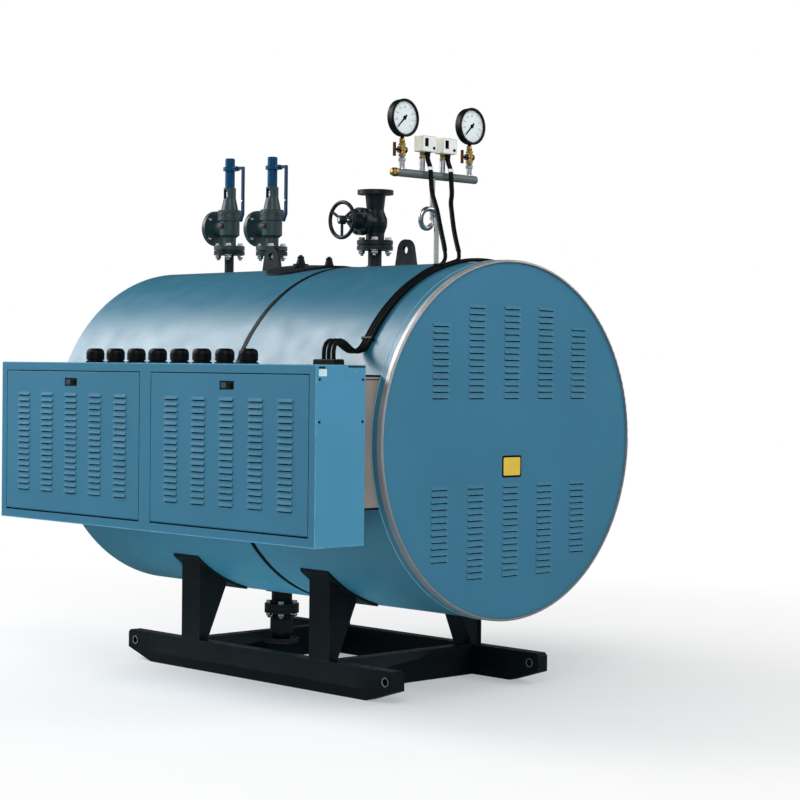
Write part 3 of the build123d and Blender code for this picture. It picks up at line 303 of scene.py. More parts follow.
dressed = {
    jacket_paint: ("jacket_front", "jacket_rear", "rear_cover"),
    cover_paint: ("front_cover",),
    door_paint: ("door_front", "door_rear", "box_frame"),
    box_paint: ("box_back", "box_bottom", "box_ends", "box_top"),
    bright_steel: ("front_trim",),
    band_black: ("seam_band",),
    neck_grey: ("box_neck",),
    plastic_black: ("cable_glands", "cable_block", "exit_block", "cable_ties", "pressure_gauges"),
    rubber_black: ("switch_cable_left", "switch_cable_right", "level_cable"),
    valve_dark: ("steam_valve_body", "steam_valve_bonnet", "steam_valve_handwheel"),
    pipe_steel: ("gauge_siphon", "steam_valve_stem"),
    safety_grey: ("safety_body_rear", "safety_body_front", "safety_bonnet_rear", "safety_bonnet_front"),
    cap_blue: ("safety_cap_rear", "safety_cap_front"),
    lever_navy: ("safety_lever_rear", "safety_lever_front"),
    nozzle_grey: ("valve_nozzles",),
    manifold_grey: ("gauge_manifold",),
    brass: ("gauge_cocks",),
    bronze: ("cock_handle_left", "cock_handle_right"),
    manhole_dark: ("manhole_ring", "manhole_lid", "manhole_clamps"),
    cream: ("pressure_switches",),
    lug_paint: ("lifting_lugs",),
    base_dark: ("skid_runners", "skid_noses", "cross_members", "front_legs", "rear_legs", "drain_valve",
                "drain_nozzle"),
}
for finish, names in dressed.items():
    for name in names:
        nodes[name].data.materials.clear()
        nodes[name].data.materials.append(finish)


# Mesh and curve helpers

sharp_angle = math.radians(35)


def placed(origin, axis, across=None):
    """A matrix with its origin at a point and its z along an axis."""
    z = Vector(axis).normalized()
    hint = Vector(across) if across else (RIGHT if abs(z.z) > 0.9 else UP)
    x = (hint - z * hint.dot(z)).normalized()
    matrix = Matrix((x, z.cross(x), z)).transposed().to_4x4()
    matrix.translation = origin
    return matrix


def raised(matrix, height):
    """A matrix moved along its own z."""
    return matrix @ Matrix.Translation(UP * height)


def in_mm(*points):
    """Profile points written in millimetres."""
    return [(across * MM, along * MM) for across, along in points]


def turns(count, start=0.0):
    """Even angles round a full turn."""
    return [start + 2 * math.pi * number / count for number in range(count)]


def circle(origin, axis, radius, count, start=0.0):
    """Evenly spaced points round an axis."""
    matrix = placed(origin, axis)
    return [matrix @ Vector((radius * math.cos(a), radius * math.sin(a), 0)) for a in turns(count, start)]


def shown(name, bm, finish, body="boiler"):
    """Turns built mesh data into a piece that rides on a body."""
    mesh = bpy.data.meshes.new(name)
    bmesh.ops.recalc_face_normals(bm, faces=bm.faces)
    bm.to_mesh(mesh)
    bm.free()
    mesh.materials.append(finish)
    mesh.shade_smooth()
    mesh.set_sharp_from_angle(angle=sharp_angle)
    piece = bpy.data.objects.new(name, mesh)
    scene.collection.objects.link(piece)
    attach(piece, body)


def wire(name, points, radius, finish, closed=False, body="boiler"):
    """A round wire or bead along points."""
    curve = bpy.data.curves.new(name, "CURVE")
    curve.dimensions = "3D"
    curve.bevel_depth = radius
    curve.bevel_resolution = 3
    curve.use_fill_caps = True
    spline = curve.splines.new("POLY")
    spline.points.add(len(points) - 1)
    for point, place in zip(spline.points, points):
        point.co = (*place, 1.0)
    spline.use_cyclic_u = closed
    spline.use_smooth = True
    curve.materials.append(finish)
    piece = bpy.data.objects.new(name, curve)
    scene.collection.objects.link(piece)
    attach(piece, body)


def skin(bm, rings, hollow=False):
    """Faces over rings of points, with closed ends, or with the last ring joined to the first."""
    if hollow:
        rings = [*rings, rings[0]]
    else:
        bm.faces.new(rings[0])
        bm.faces.new(rings[-1])
    for low, high in zip(rings, rings[1:]):
        for number in range(len(low)):
            after = (number + 1) % len(low)
            bm.faces.new((low[number], low[after], high[after], high[number]))


def lathe(bm, matrix, profile, segments, hollow=False):
    """Turns (radius, height) points about z, with closed ends, or as a ring where hollow."""
    rings = []
    for radius, height in profile:
        points = [Vector((radius * math.cos(a), radius * math.sin(a), height)) for a in turns(segments)]
        rings.append([bm.verts.new(matrix @ point) for point in points])
    skin(bm, rings, hollow)


def ring(bm, matrix, outer, inner, low, high, segments):
    """A plain ring between two heights."""
    lathe(bm, matrix, [(outer, low), (outer, high), (inner, high), (inner, low)], segments, hollow=True)


def prism(bm, matrix, outline, thick):
    """A flat outline raised from the plane z = 0."""
    levels = (0, thick)
    skin(bm, [[bm.verts.new(matrix @ Vector((x, y, level))) for x, y in outline] for level in levels])


def slab(bm, matrix, width, height, thick, corner, chamfer):
    """A plate with round corners and a chamfered face, on the plane z = 0."""
    steps = 24
    rings = []
    for inset, level in ((0, 0), (0, thick - chamfer), (chamfer, thick)):
        points = []
        radius = max(corner - inset, 0.2 * corner)
        for angle in turns(steps, math.pi / steps):
            side_x = math.copysign(width / 2 - inset - radius, math.cos(angle))
            side_y = math.copysign(height / 2 - inset - radius, math.sin(angle))
            point = Vector((side_x + radius * math.cos(angle), side_y + radius * math.sin(angle), level))
            points.append(bm.verts.new(matrix @ point))
        rings.append(points)
    skin(bm, rings)


def front_plate(bm, x, y, z, *sizes):
    """A slab on a wall that faces the front: width, height, thickness, corner and chamfer in millimetres."""
    slab(bm, placed(Vector((x, y, z)), FRONT, RIGHT), *(size * MM for size in sizes))


def pierced(bm, matrix, outer, hole, thick):
    """A plate with a square hole, on the plane z = 0; both are given as left, low, right, high."""
    rings = []
    for edges, level in ((outer, 0), (outer, thick), (hole, thick), (hole, 0)):
        left, low, right, high = edges
        corners = ((left, low), (right, low), (right, high), (left, high))
        rings.append([bm.verts.new(matrix @ Vector((x, y, level))) for x, y in corners])
    skin(bm, rings, hollow=True)


def nut(bm, matrix, across, height):
    """A hexagon with chamfered corners."""
    radius = across / math.sqrt(3)
    lip = 0.14 * height
    lathe(bm, matrix, [(0.9 * radius, 0), (radius, lip), (radius, height - lip), (0.9 * radius, height)], 6)


def bolt(bm, origin, axis, size, grip, tail):
    """A bolt through a joint: head and washer on one side, washer, nut and threaded end on the other."""
    shank_r, washer_r, root_r = 0.5 * size, 0.95 * size, 0.43 * size
    washer, head, nut_height, across = 0.16 * size, 0.65 * size, 0.8 * size, 1.5 * size
    above = placed(origin, axis)
    ring(bm, above, washer_r, shank_r, 0, washer, 20)
    nut(bm, raised(above, washer), across, head)
    below = placed(Vector(origin) - Vector(axis) * grip, -Vector(axis))
    ring(bm, below, washer_r, shank_r, 0, washer, 20)
    nut(bm, raised(below, washer), across, nut_height)
    thread = [(shank_r, 0)]
    threads = 8
    for number in range(threads):
        thread.append((shank_r, washer + nut_height + number * tail / threads))
        thread.append((root_r, washer + nut_height + (number + 0.5) * tail / threads))
    thread.append((0.36 * size, washer + nut_height + tail))
    lathe(bm, below, thread, 16)


def screw(bm, origin, axis, radius):
    """A domed screw head with a socket."""
    height = 0.7 * radius
    profile = [(radius, 0), (radius, 0.35 * height), (0.85 * radius, 0.8 * height), (0.55 * radius, height)]
    profile += [(0.42 * radius, height), (0.38 * radius, 0.35 * height)]
    lathe(bm, placed(origin, axis), profile, 18)


def drum_side(z):
    """The x of the jacket's left side at a height."""
    return axis_x - math.sqrt(jacket_r ** 2 - (z - axis_z) ** 2)


def crown_bead(name, x, y, radius):
    """The weld round a stub that stands on the crown."""
    points = []
    for angle in turns(48):
        across = x + radius * math.cos(angle)
        rise = math.sqrt(jacket_r ** 2 - (across - axis_x) ** 2)
        points.append(Vector((across, y + radius * math.sin(angle), axis_z + rise)))
    wire(name, points, weld_r, nozzle_grey, closed=True)


def drum_bead(name, y, ring_r, radius):
    """A bead round the drum, in pale paint that is a painted highlight."""
    points = circle(Vector((axis_x, y, axis_z)), FRONT, ring_r, drum_segments)
    wire(name, points, radius, highlight_bead_paint, closed=True)


# Stop valve and drain

def flange_bolts(name, x, y, joint_z, pcd):
    """The four bolts of a flange pair, off its centre lines."""
    bm = bmesh.new()
    for place in circle(Vector((x, y, joint_z + flange_thick)), UP, pcd / 2, 4, math.pi / 4):
        bolt(bm, place, UP, flange_bolt, 2 * flange_thick, 0.55 * flange_bolt)
    shown(name, bm, zinc)


def bonnet_details():
    """Bolt heads round the stop valve's bonnet and the gland nut on its nose."""
    low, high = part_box("steam_valve_bonnet")
    flange_back = high.x - 14 * MM
    washer = 1.4 * MM
    bm = bmesh.new()
    for place in circle(Vector((flange_back, steam_y, stem_middle.z)), LEFT, 47 * MM, 8, math.pi / 8):
        head = placed(place, LEFT)
        ring(bm, head, 8 * MM, 4 * MM, 0, washer, 18)
        nut(bm, raised(head, washer), 13 * MM, 6 * MM)
    shown("bonnet_bolts", bm, valve_dark)
    bm = bmesh.new()
    nose = placed(Vector((low.x + 16 * MM, steam_y, stem_middle.z)), LEFT)
    lathe(bm, nose, in_mm((25, 0), (25, 13), (20, 15.6), (9.6, 15.6), (9.6, 0)), 6, hollow=True)
    shown("gland_nut", bm, valve_dark)


def wheel_washer():
    """The washer on the handwheel's hub."""
    hub = Vector((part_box("steam_valve_handwheel")[0].x, steam_y, stem_middle.z))
    bm = bmesh.new()
    ring(bm, placed(hub, LEFT), 15 * MM, 9.3 * MM, 0, 2 * MM, 24)
    shown("wheel_washer", bm, valve_dark, body="handwheel")


flange_bolts("steam_flange_bolts", axis_x, steam_y, steam_joint_z, flange_pcd)
flange_bolts("drain_flange_bolts", axis_x, middle("drain_valve").y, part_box("drain_valve")[1].z, flange_pcd)
crown_bead("steam_nozzle_weld", axis_x, steam_y, steam_nozzle_r)
bonnet_details()
wheel_washer()


# Safety valves

def safety_spring(side):
    """The spring that shows through the bonnet's windows."""
    low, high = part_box("safety_bonnet_" + side)
    axis = (low + high) / 2
    start, end = low.z + 60 * MM, high.z - 8 * MM
    coil_r, coils, steps = 16 * MM, 5, 20
    points = []
    for number in range(coils * steps + 1):
        angle = 2 * math.pi * number / steps
        rise = start + (end - start) * number / (coils * steps)
        points.append(Vector((axis.x + coil_r * math.cos(angle), axis.y + coil_r * math.sin(angle), rise)))
    wire("safety_spring_" + side, points, 3 * MM, pipe_steel)


def safety_body_details(side):
    """The collar between body and bonnet, and the plug in the boss on the body's side."""
    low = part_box("safety_bonnet_" + side)[0]
    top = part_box("safety_body_" + side)[1].z
    axis = middle("safety_bonnet_" + side)
    bm = bmesh.new()
    collar = in_mm((38, -8), (51, -8), (52, -7), (52, -2), (50.4, -1))
    collar += in_mm((50.4, 1), (52, 2), (52, 6), (50, 8), (38, 8))
    lathe(bm, placed(Vector((axis.x, axis.y, low.z)), UP), collar, 48, hollow=True)
    shown("safety_collar_" + side, bm, safety_grey)
    boss = placed(Vector((axis.x - 45 * MM, axis.y, top - 72 * MM)), LEFT)
    bm = bmesh.new()
    lathe(bm, boss, in_mm((13, -8), (13, 4), (11, 6), (8, 6), (8, -8)), 28, hollow=True)
    shown("safety_boss_" + side, bm, valve_dark)
    bm = bmesh.new()
    lathe(bm, boss, in_mm((7.8, -8), (7.8, 5), (6, 8), (2, 9)), 20)
    shown("safety_plug_" + side, bm, copper_red)


def lever_details(side):
    """The wire seal on the lever and the heads of the pin in the cap."""
    axis = middle("safety_bonnet_" + side)
    low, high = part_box("safety_lever_" + side)
    seal_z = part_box("safety_bonnet_" + side)[0].z + 46 * MM
    lever_y = low.y + 6.5 * MM
    half_x, half_y = 5.9 * MM, 7.4 * MM
    loop = ((-half_x, -half_y), (half_x, -half_y), (half_x, half_y), (-half_x, half_y))
    points = [Vector((axis.x + x, lever_y + y, seal_z)) for x, y in loop]
    wire("lever_seal_wire_" + side, points, 0.9 * MM, zinc, closed=True, body=side + "_lever")
    tag = placed(Vector((axis.x - half_x, lever_y, seal_z)), LEFT)
    bm = bmesh.new()
    lathe(bm, tag, in_mm((4, 0), (5, 1), (5, 3), (4, 4)), 18)
    shown("lever_seal_" + side, bm, white_ring, body=side + "_lever")
    pin = Vector((axis.x, high.y - 11 * MM, high.z - 11 * MM))
    bm = bmesh.new()
    for direction in (LEFT, RIGHT):
        screw(bm, pin + direction * 11.4 * MM, direction, 6 * MM)
    shown("lever_pin_heads_" + side, bm, cap_blue)


for side in ("rear", "front"):
    axis = middle("safety_bonnet_" + side)
    joint_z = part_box("safety_body_" + side)[0].z
    flange_bolts("safety_bolts_" + side, axis.x, axis.y, joint_z, small_flange_pcd)
    crown_bead("safety_nozzle_weld_" + side, axis.x, axis.y, safety_nozzle_r)
    safety_spring(side)
    safety_body_details(side)
    lever_details(side)


# Gauges

def stamp(bm, words, matrix, size):
    """Raised figures in a plane."""
    curve = bpy.data.curves.new("figure", "FONT")
    curve.body = words
    curve.size = size
    curve.extrude = 0.15 * MM
    curve.align_x = "CENTER"
    curve.align_y = "CENTER"
    maker = bpy.data.objects.new("figure", curve)
    mesh = bpy.data.meshes.new_from_object(maker)
    mesh.transform(matrix)
    bm.from_mesh(mesh)
    bpy.data.objects.remove(maker)
    bpy.data.meshes.remove(mesh)
    bpy.data.curves.remove(curve)


def dial_mark(bm, face, angle, inner, outer, width):
    """A short bar of the scale."""
    half = width / 2
    bar = face @ Matrix.Rotation(angle, 4, "Z")
    prism(bm, bar, ((inner, -half), (outer, -half), (outer, half), (inner, half)), 0.25 * MM)


def dial_scale(bm, face):
    """Marks and numbers over three quarters of a turn."""
    sweep = math.radians(270)
    steps, numbered, full_scale = 40, 5, 1.6
    for number in range(steps + 1):
        angle = dial_start - sweep * number / steps
        long_mark = number % numbered == 0
        inner, width = (0.80, 1.5 * MM) if long_mark else (0.86, 0.9 * MM)
        dial_mark(bm, face, angle, inner * dial_r, 0.92 * dial_r, width)
        if long_mark:
            spot = Vector((math.cos(angle), math.sin(angle), 0)) * (0.66 * dial_r)
            words = f"{full_scale * number / steps:.1f}".rstrip("0").rstrip(".")
            stamp(bm, words, face @ Matrix.Translation(spot), 10 * MM)


def pointer(bm, face):
    """The pointer at the foot of the scale, on its hub."""
    edge = [(-16 * MM, 4.4 * MM), (0, 3.8 * MM), (0.8 * dial_r, 2 * MM), (0.84 * dial_r, 0.6 * MM)]
    outline = edge + [(along, -half) for along, half in reversed(edge)]
    prism(bm, raised(face, 1.2 * MM) @ Matrix.Rotation(dial_start, 4, "Z"), outline, 0.8 * MM)
    lathe(bm, face, in_mm((8, 0), (8, 2.4), (5, 3.2)), 28)


def gauge_face(name, x):
    """Dial, scale, pointer, glass and bezel of one gauge."""
    front = gauge_low.y
    dial = placed(Vector((x, front + dial_recess, gauge_z)), FRONT, RIGHT)
    face = raised(dial, dial_thick)
    edge_r = dial_r - 0.3 * MM
    bm = bmesh.new()
    lathe(bm, dial, [(edge_r, 0), (edge_r, 0.8 * MM), (dial_r - 1.2 * MM, dial_thick)], 64)
    shown(name + "_dial", bm, dial_white)
    bm = bmesh.new()
    dial_scale(bm, face)
    shown(name + "_scale", bm, scale_grey)
    bm = bmesh.new()
    pointer(bm, face)
    shown(name + "_pointer", bm, ink)
    bm = bmesh.new()
    lathe(bm, dial, [(dial_r - 0.2 * MM, 5.2 * MM), (dial_r - 0.2 * MM, 6.4 * MM)], 64)
    shown(name + "_glass", bm, glass)
    outside = [(gauge_r + 1.4 * MM, -8 * MM), (gauge_r + 1.6 * MM, -1 * MM), (gauge_r - 2 * MM, 1.6 * MM)]
    inside = [(dial_r + 1.4 * MM, 1.2 * MM), (dial_r, -0.6 * MM), (dial_r, -2 * MM)]
    back_edge = [(gauge_r - 1 * MM, -8 * MM)]
    bm = bmesh.new()
    lathe(bm, placed(Vector((x, front, gauge_z)), FRONT), outside + inside + back_edge, 72, hollow=True)
    shown(name + "_bezel", bm, plastic_black)


def stub_sleeve(bm, x, top):
    """The bright sleeve round a stub of the manifold."""
    start = manifold_z + manifold_r - 2 * MM
    foot = placed(Vector((x, manifold_y, start)), UP)
    ring(bm, foot, stub_sleeve_outer, stub_sleeve_inner, 0, top - start, 28)


def stub_nut(bm, x, z, across, height):
    """A nut round a stub of the manifold."""
    nut(bm, placed(Vector((x, manifold_y, z)), UP), across * MM, height * MM)


def cock_details(name, x):
    """Brass nuts, bright union and plug caps of the cock under one gauge."""
    bm = bmesh.new()
    for rise, across, height in ((53, 21, 18), (1, 27.4, 9), (43, 27.4, 8)):
        stub_nut(bm, x, stub_top_z + rise * MM, across, height)
    shown(name + "_nuts", bm, brass)
    bm = bmesh.new()
    stub_nut(bm, x, stub_top_z - union_drop, 27, 13)
    foot = placed(Vector((x, manifold_y, manifold_z + manifold_r - 3 * MM)), UP)
    lathe(bm, foot, in_mm((15, 0), (14, 4), (11, 6)), 24)
    stub_sleeve(bm, x, stub_top_z - union_drop)
    shown(name + "_union", bm, chrome)
    bm = bmesh.new()
    plug = Vector((x, manifold_y, stub_top_z + 26 * MM))
    for direction in (RIGHT, LEFT):
        cap = placed(plug + direction * 15.2 * MM, direction)
        lathe(bm, cap, in_mm((13.5, 0), (13.5, 4), (12, 5.4), (5.6, 5.4), (5.6, 0)), 24, hollow=True)
    shown(name + "_plug_caps", bm, valve_dark)


for name, x in zip(("gauge_left", "gauge_right"), gauge_xs):
    gauge_face(name, x)
    cock_details(name, x)


# Pressure switches and cables

def switch_details(name, x):
    """Brass nuts, stub sleeve, front panel with window and knob, conduit nut and ferrule of one switch; the
    panel's whiter paint is painted light on the front.
    """
    stub_x = x + switch_stub_shift
    bm = bmesh.new()
    for drop, across, height in ((14, 20, 13), (25, 22, 9)):
        stub_nut(bm, stub_x, switch_base_z - drop * MM, across, height)
    shown(name + "_nuts", bm, brass)
    bm = bmesh.new()
    stub_sleeve(bm, stub_x, stub_top_z)
    shown(name + "_sleeve", bm, chrome)
    window_rise, window_half = 0.58 * switch_height, 17 * MM
    panel = (-37 * MM, 3 * MM, 37 * MM, 60 * MM)
    hole = (-27.5 * MM, window_rise - window_half, -6.5 * MM, window_rise + window_half)
    # The panel is whiter than the housing: painted light that makes the front lighter than the sides
    bm = bmesh.new()
    pierced(bm, placed(Vector((x, switch_face_y, switch_base_z)), FRONT, RIGHT), panel, hole, 0.8 * MM)
    shown(name + "_panel", bm, white_ring)
    bm = bmesh.new()
    front_plate(bm, x - 17 * MM, switch_face_y + 2 * MM, switch_base_z + window_rise, 20.4, 33.4, 1.4, 2, 0.4)
    knob = Vector((x + 23 * MM, switch_face_y, switch_base_z + 0.25 * switch_height))
    lathe(bm, placed(knob, FRONT), in_mm((5.6, 0), (5.6, 4.6), (4.6, 5.6)), 24)
    shown(name + "_window", bm, ink)
    conduit = Vector((x + switch_cable_shift, manifold_y - switch_cable_forward, switch_base_z))
    bm = bmesh.new()
    nut(bm, placed(conduit, DOWN), 21 * MM, 6 * MM)
    lathe(bm, placed(conduit + DOWN * 6 * MM, DOWN), in_mm((11, 0), (11, 8), (10.2, 12), (9, 12)), 24)
    shown(name + "_conduit_nut", bm, plastic_black)
    bm = bmesh.new()
    ferrule = conduit + FRONT * 17.6 * MM + DOWN * 66 * MM
    ring(bm, placed(ferrule, DOWN), 11.2 * MM, 9 * MM, -6 * MM, 6 * MM, 28)
    shown(name + "_ferrule", bm, white_ring)


def cable_sleeve(name):
    """The thicker sleeve round a switch cable where it stands free of the drum."""
    bm = bmesh.new()
    bm.from_mesh(nodes[name].data)
    bm.transform(nodes[name].matrix_world)
    bmesh.ops.remove_doubles(bm, verts=bm.verts, dist=0.01 * MM)
    foot = axis_z + jacket_r + 36 * MM
    covered = [vert for vert in bm.verts if vert.co.z < foot]
    bmesh.ops.delete(bm, geom=covered, context="VERTS")
    bm.normal_update()
    for vert in bm.verts:
        vert.co += vert.normal * 1.8 * MM
    shown(name + "_sleeve", bm, rubber_black)


def manifold_plug():
    """The brass plug on the manifold's end."""
    bm = bmesh.new()
    end = placed(Vector((manifold_low.x + 16 * MM, manifold_y, manifold_z)), LEFT)
    lip_r = manifold_r + 1.5 * MM
    lathe(bm, end, [(lip_r, -4 * MM), (lip_r, 3 * MM), (manifold_r, 5 * MM)], 28)
    nut(bm, raised(end, 5 * MM), 30 * MM, 11 * MM)
    lathe(bm, raised(end, 16 * MM), in_mm((12, 0), (10, 2), (6, 3)), 24)
    shown("manifold_plug", bm, brass)


for name, x in zip(("switch_left", "switch_right"), switch_xs):
    switch_details(name, x)
cable_sleeve("switch_cable_left")
cable_sleeve("switch_cable_right")
manifold_plug()


# Terminal box

def door_details(name, body):
    """The ribbed paddle and the round key in a door's latch pocket."""
    low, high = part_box(name)
    centre = Vector((low.x + louvre_out + latch_recess, (low.y + high.y) / 2, high.z - latch_drop))
    pocket = placed(centre, LEFT, BACK)
    plate = 1.2 * MM
    bm = bmesh.new()
    slab(bm, pocket, 82 * MM, 30 * MM, plate, 3 * MM, 0.4 * MM)
    key = pocket @ Matrix.Translation((-16 * MM, 0, 1 * MM))
    lathe(bm, key, in_mm((10, 0), (10, 3.4), (8.6, 4.6), (5, 4.6), (4.6, 1.6)), 28)
    shown(name + "_latch", bm, plastic_black, body=body)
    first_rib, rib_pitch, ribs = 12 * MM, 7.5 * MM, 4
    bm = bmesh.new()
    for number in range(ribs):
        rib = pocket @ Matrix.Translation((first_rib + rib_pitch * number, 0, plate))
        slab(bm, rib, 4.4 * MM, 22 * MM, 2.2 * MM, 1 * MM, 0.6 * MM)
    shown(name + "_latch_ribs", bm, latch_grey, body=body)


def box_end_details():
    """Dark screws in both ends, and the shaded strips, blank label and small fitting on the front end."""
    low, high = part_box("box_ends")
    bm = bmesh.new()
    for y, direction in ((low.y, FRONT), (high.y, BACK)):
        for x in (low.x + 16 * MM, high.x - 13 * MM):
            for drop in (50 * MM, 202 * MM):
                screw(bm, Vector((x, y, high.z - drop)), direction, 5 * MM)
    shown("box_end_screws", bm, screw_dark)
    bm = bmesh.new()
    front_plate(bm, high.x - 43 * MM, low.y, high.z - 3.5 * MM, 84, 6, 1.4, 1.5, 0.5)
    front_plate(bm, low.x + 27 * MM, low.y, high.z - 8 * MM, 30, 8, 0.8, 1.5, 0.3)
    shown("box_end_strip", bm, screw_dark)
    bm = bmesh.new()
    front_plate(bm, low.x + 31 * MM, low.y, high.z - 26 * MM, 38, 26, 0.8, 3, 0.3)
    shown("box_end_label", bm, label_pale)
    fitting = Vector((high.x - 64 * MM, low.y, high.z - 26 * MM))
    fitting_thick = 1.4
    bm = bmesh.new()
    front_plate(bm, *fitting, 72, 20, fitting_thick, 3, 0.6)
    for side in (-17 * MM, 17 * MM):
        screw(bm, fitting + Vector((side, -fitting_thick * MM, 0)), FRONT, 5.5 * MM)
    shown("box_end_fitting", bm, box_paint)


def neck_details():
    """The neck's front sheet, which follows the drum up to the cover's skirt, and the seals along it."""
    low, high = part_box("box_neck")
    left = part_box("box_ends")[1].x
    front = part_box("front_cover")[1].y + 3 * MM
    steps = 24
    bm = bmesh.new()
    rows = []
    for number in range(steps + 1):
        z = low.z + (high.z - low.z) * number / steps
        right = drum_side(z) - 0.4 * MM
        corners = ((left, front), (right, front), (right, low.y), (left, low.y))
        rows.append([bm.verts.new((x, y, z)) for x, y in corners])
    skin(bm, rows)
    shown("neck_front", bm, neck_grey)
    bm = bmesh.new()
    for z, height in ((high.z - 3.5 * MM, 7 * MM), (high.z - 17 * MM, 3 * MM), (low.z + 3.5 * MM, 7 * MM)):
        right = drum_side(z)
        place = placed(Vector(((left + right) / 2, front, z)), FRONT, RIGHT)
        slab(bm, place, right - left - 4 * MM, height, 1.2 * MM, 0.3 * height, 0.3 * MM)
    shown("neck_seals", bm, rubber_black)


door_details("door_front", "front_door")
door_details("door_rear", "rear_door")
box_end_details()
neck_details()


# Drum and base

def skirt_details():
    """The glossy paint on the cover's skirt, and the rolled edge at its back in pale paint as a painted
    highlight.
    """
    low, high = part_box("front_cover")
    radius = (high.x - low.x) / 2
    length = high.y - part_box("front_trim")[1].y
    proud = 0.4 * MM
    profile = [(radius, 0), (radius + proud, proud), (radius + proud, length - proud), (radius, length)]
    bm = bmesh.new()
    lathe(bm, placed(Vector((axis_x, high.y, axis_z)), FRONT), profile, drum_segments, hollow=True)
    shown("skirt_sheet", bm, jacket_paint)
    drum_bead("skirt_bead", high.y - 1.5 * MM, radius, 1.8 * MM)


def sleeve_rings():
    """The worn mouths of the pulling sleeves through the runners' ends."""
    low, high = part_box("skid_noses")
    width, inset, rise = 57 * MM, 50 * MM, 83 * MM
    profile = in_mm((18.6, 0), (18, 1.2), (15.2, 1.2), (14.1, 0))
    bm = bmesh.new()
    for x, direction in ((low.x, LEFT), (low.x + width, RIGHT), (high.x - width, LEFT), (high.x, RIGHT)):
        for y in (low.y + inset, high.y - inset):
            lathe(bm, placed(Vector((x, y, rise)), direction), profile, 36, hollow=True)
    shown("sleeve_rings", bm, manifold_grey)


def rear_screws():
    """The screws round the rear cover."""
    bm = bmesh.new()
    centre = Vector((axis_x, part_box("rear_cover")[1].y, axis_z))
    for place in circle(centre, BACK, jacket_r - 28 * MM, 16):
        screw(bm, place, BACK, 6 * MM)
    shown("rear_screws", bm, zinc)


def blank_plate():
    """The small blank plate on the front cover."""
    x, y, z = axis_x + 5 * MM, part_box("front_trim")[0].y + trim_proud, 908 * MM
    edge_thick = 1.2
    bm = bmesh.new()
    front_plate(bm, x, y, z, 108, 84, edge_thick, 8, 0.4)
    shown("blank_plate_edge", bm, ink)
    bm = bmesh.new()
    front_plate(bm, x, y - edge_thick * MM, z, 94, 70, 0.6, 5, 0.3)
    shown("blank_plate_face", bm, plate_yellow)


skirt_details()
# The seam band's bead, in pale paint as a painted highlight along the band's edge
drum_bead("band_bead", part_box("seam_band")[1].y + 1.2 * MM, jacket_r + 0.4 * MM, 1.2 * MM)
sleeve_rings()
rear_screws()
blank_plate()


# Floor, light and camera

def make_floor():
    """A pale floor that keeps the shadow and fades to the white behind it."""
    radius, thick, clear = 60, 0.02, 0.0005
    bm = bmesh.new()
    lathe(bm, placed(DOWN * thick, UP), [(radius, 0), (radius, thick - clear)], 64)
    mesh = bpy.data.meshes.new("floor")
    bm.to_mesh(mesh)
    bm.free()
    made = bpy.data.materials.new("floor_white")
    made.use_nodes = True
    tree = made.node_tree
    shader = tree.nodes["Principled BSDF"]
    shader.inputs["Roughness"].default_value = 0.9
    shader.inputs["Specular IOR Level"].default_value = 0.0
    place = add(tree, "TexCoord").outputs["Object"]
    tone = mix(tree, noise(tree, place, 3.0), (0.80, 0.80, 0.80, 1), (0.84, 0.84, 0.84, 1))
    tree.links.new(tone, shader.inputs["Base Color"])
    white = add(tree, "Emission", {"Strength": 1.0}).outputs["Emission"]
    dim = add(tree, "Emission", {"Color": (0.5, 0.86, 1.0, 1), "Strength": 0.2}).outputs["Emission"]
    reach = add(tree, "VectorMath", {0: place}, operation="LENGTH").outputs["Value"]
    far = spread(tree, reach, 0.35, 1.0, 1.0, 4.5)
    seen = add(tree, "LightPath")
    share = times(tree, far, seen.outputs["Is Camera Ray"])
    pale = add(tree, "MixShader", {"Fac": share, 1: shader.outputs["BSDF"], 2: white})
    both = add(tree, "MixShader", {"Fac": seen.outputs["Is Glossy Ray"], 1: pale.outputs["Shader"], 2: dim})
    tree.links.new(both.outputs["Shader"], tree.nodes["Material Output"].inputs["Surface"])
    mesh.materials.append(made)
    floor = bpy.data.objects.new("floor", mesh)
    scene.collection.objects.link(floor)


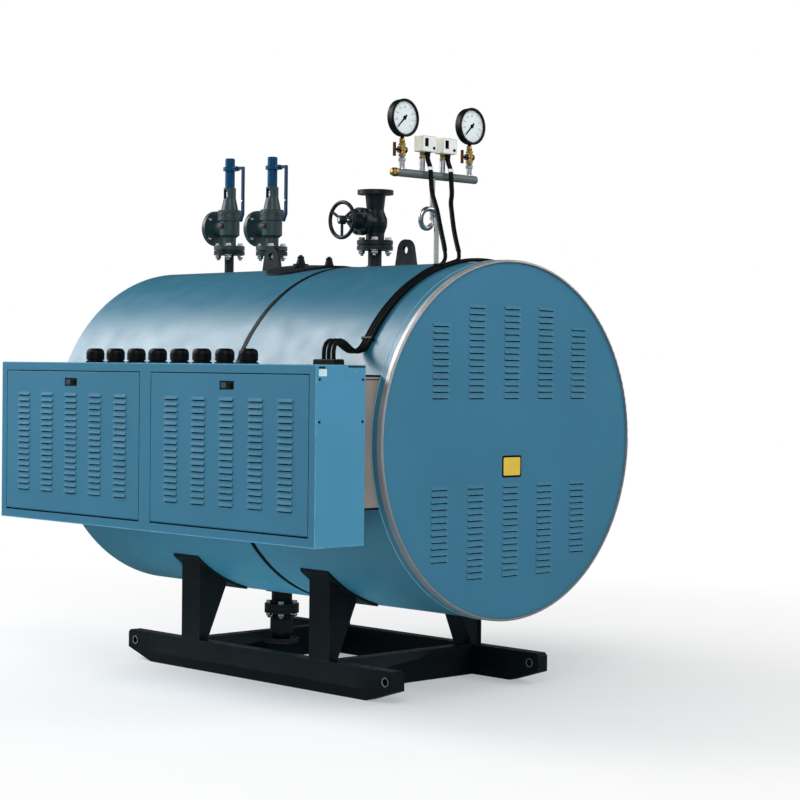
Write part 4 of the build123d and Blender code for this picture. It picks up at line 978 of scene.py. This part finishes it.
def make_world():
    """White to look at, a darker ceiling in reflections and a softer light on the object."""
    world = bpy.data.worlds.new("studio")
    scene.world = world
    world.use_nodes = True
    tree = world.node_tree
    tree.nodes.clear()
    seen = add(tree, "LightPath")
    straight = add(tree, "Math", {0: seen.outputs["Is Camera Ray"], 1: seen.outputs["Is Transmission Ray"]},
                   operation="MAXIMUM")
    height = add(tree, "SeparateXYZ", {0: add(tree, "TexCoord").outputs["Generated"]}).outputs["Z"]
    ceiling = spread(tree, height, 1.0, 0.05, 0.0, 0.22)
    soft = add(tree, "Background", {"Color": (0.96, 0.98, 1.0, 1), "Strength": 0.4}).outputs["Background"]
    mirrored = add(tree, "Background", {"Color": (1, 1, 1, 1), "Strength": ceiling}).outputs["Background"]
    white = add(tree, "Background", {"Color": (1, 1, 1, 1), "Strength": 1.0}).outputs["Background"]
    lit = add(tree, "MixShader", {"Fac": seen.outputs["Is Glossy Ray"], 1: soft, 2: mirrored})
    both = add(tree, "MixShader", {"Fac": straight.outputs["Value"], 1: lit.outputs["Shader"], 2: white})
    tree.links.new(both.outputs["Shader"], add(tree, "OutputWorld").inputs["Surface"])


def area_light(name, place, target, size, power):
    """A square soft light that faces a point."""
    lamp = bpy.data.lights.new(name, "AREA")
    lamp.shape = "SQUARE"
    lamp.size = size
    lamp.energy = power
    holder = bpy.data.objects.new(name, lamp)
    holder.location = place
    holder.rotation_euler = (Vector(target) - Vector(place)).to_track_quat("-Z", "Y").to_euler()
    scene.collection.objects.link(holder)
    return holder


def make_camera():
    """The photograph's view."""
    azimuth, elevation, roll = (math.radians(angle) for angle in (-44.004, 0.884, 0.621))
    level = math.cos(elevation)
    back = Vector((math.sin(azimuth) * level, -math.cos(azimuth) * level, math.sin(elevation)))
    right = Vector((math.cos(azimuth), math.sin(azimuth), 0))
    up = back.cross(right)
    turned_right = right * math.cos(roll) + up * math.sin(roll)
    turned_up = up * math.cos(roll) - right * math.sin(roll)
    lens = bpy.data.cameras.new("camera")
    lens.sensor_width = 36.0
    lens.lens = 91.94
    lens.clip_end = 200.0
    camera = bpy.data.objects.new("camera", lens)
    pose = Matrix((turned_right, turned_up, back)).transposed().to_4x4()
    pose.translation = Vector((-5.6605, -6.4251, 1.2829))
    camera.matrix_world = pose
    scene.collection.objects.link(camera)
    scene.camera = camera


make_floor()
make_world()
area_light("key", (-4.5, -5.5, 5.5), (0, 0, 1.0), 4.0, 235)
area_light("fill", (5.0, -5.0, 5.4), (0, 0, 1.0), 4.0, 170)
area_light("side", (-2.9, 4.6, 4.8), (-0.3, 0, 1.3), 3.8, 405)
area_light("under", (-0.4, 0.0, 0.03), (-0.5, 0, 1.0), 1.3, 12).visible_glossy = False
make_camera()
scene.view_settings.view_transform = "Standard"
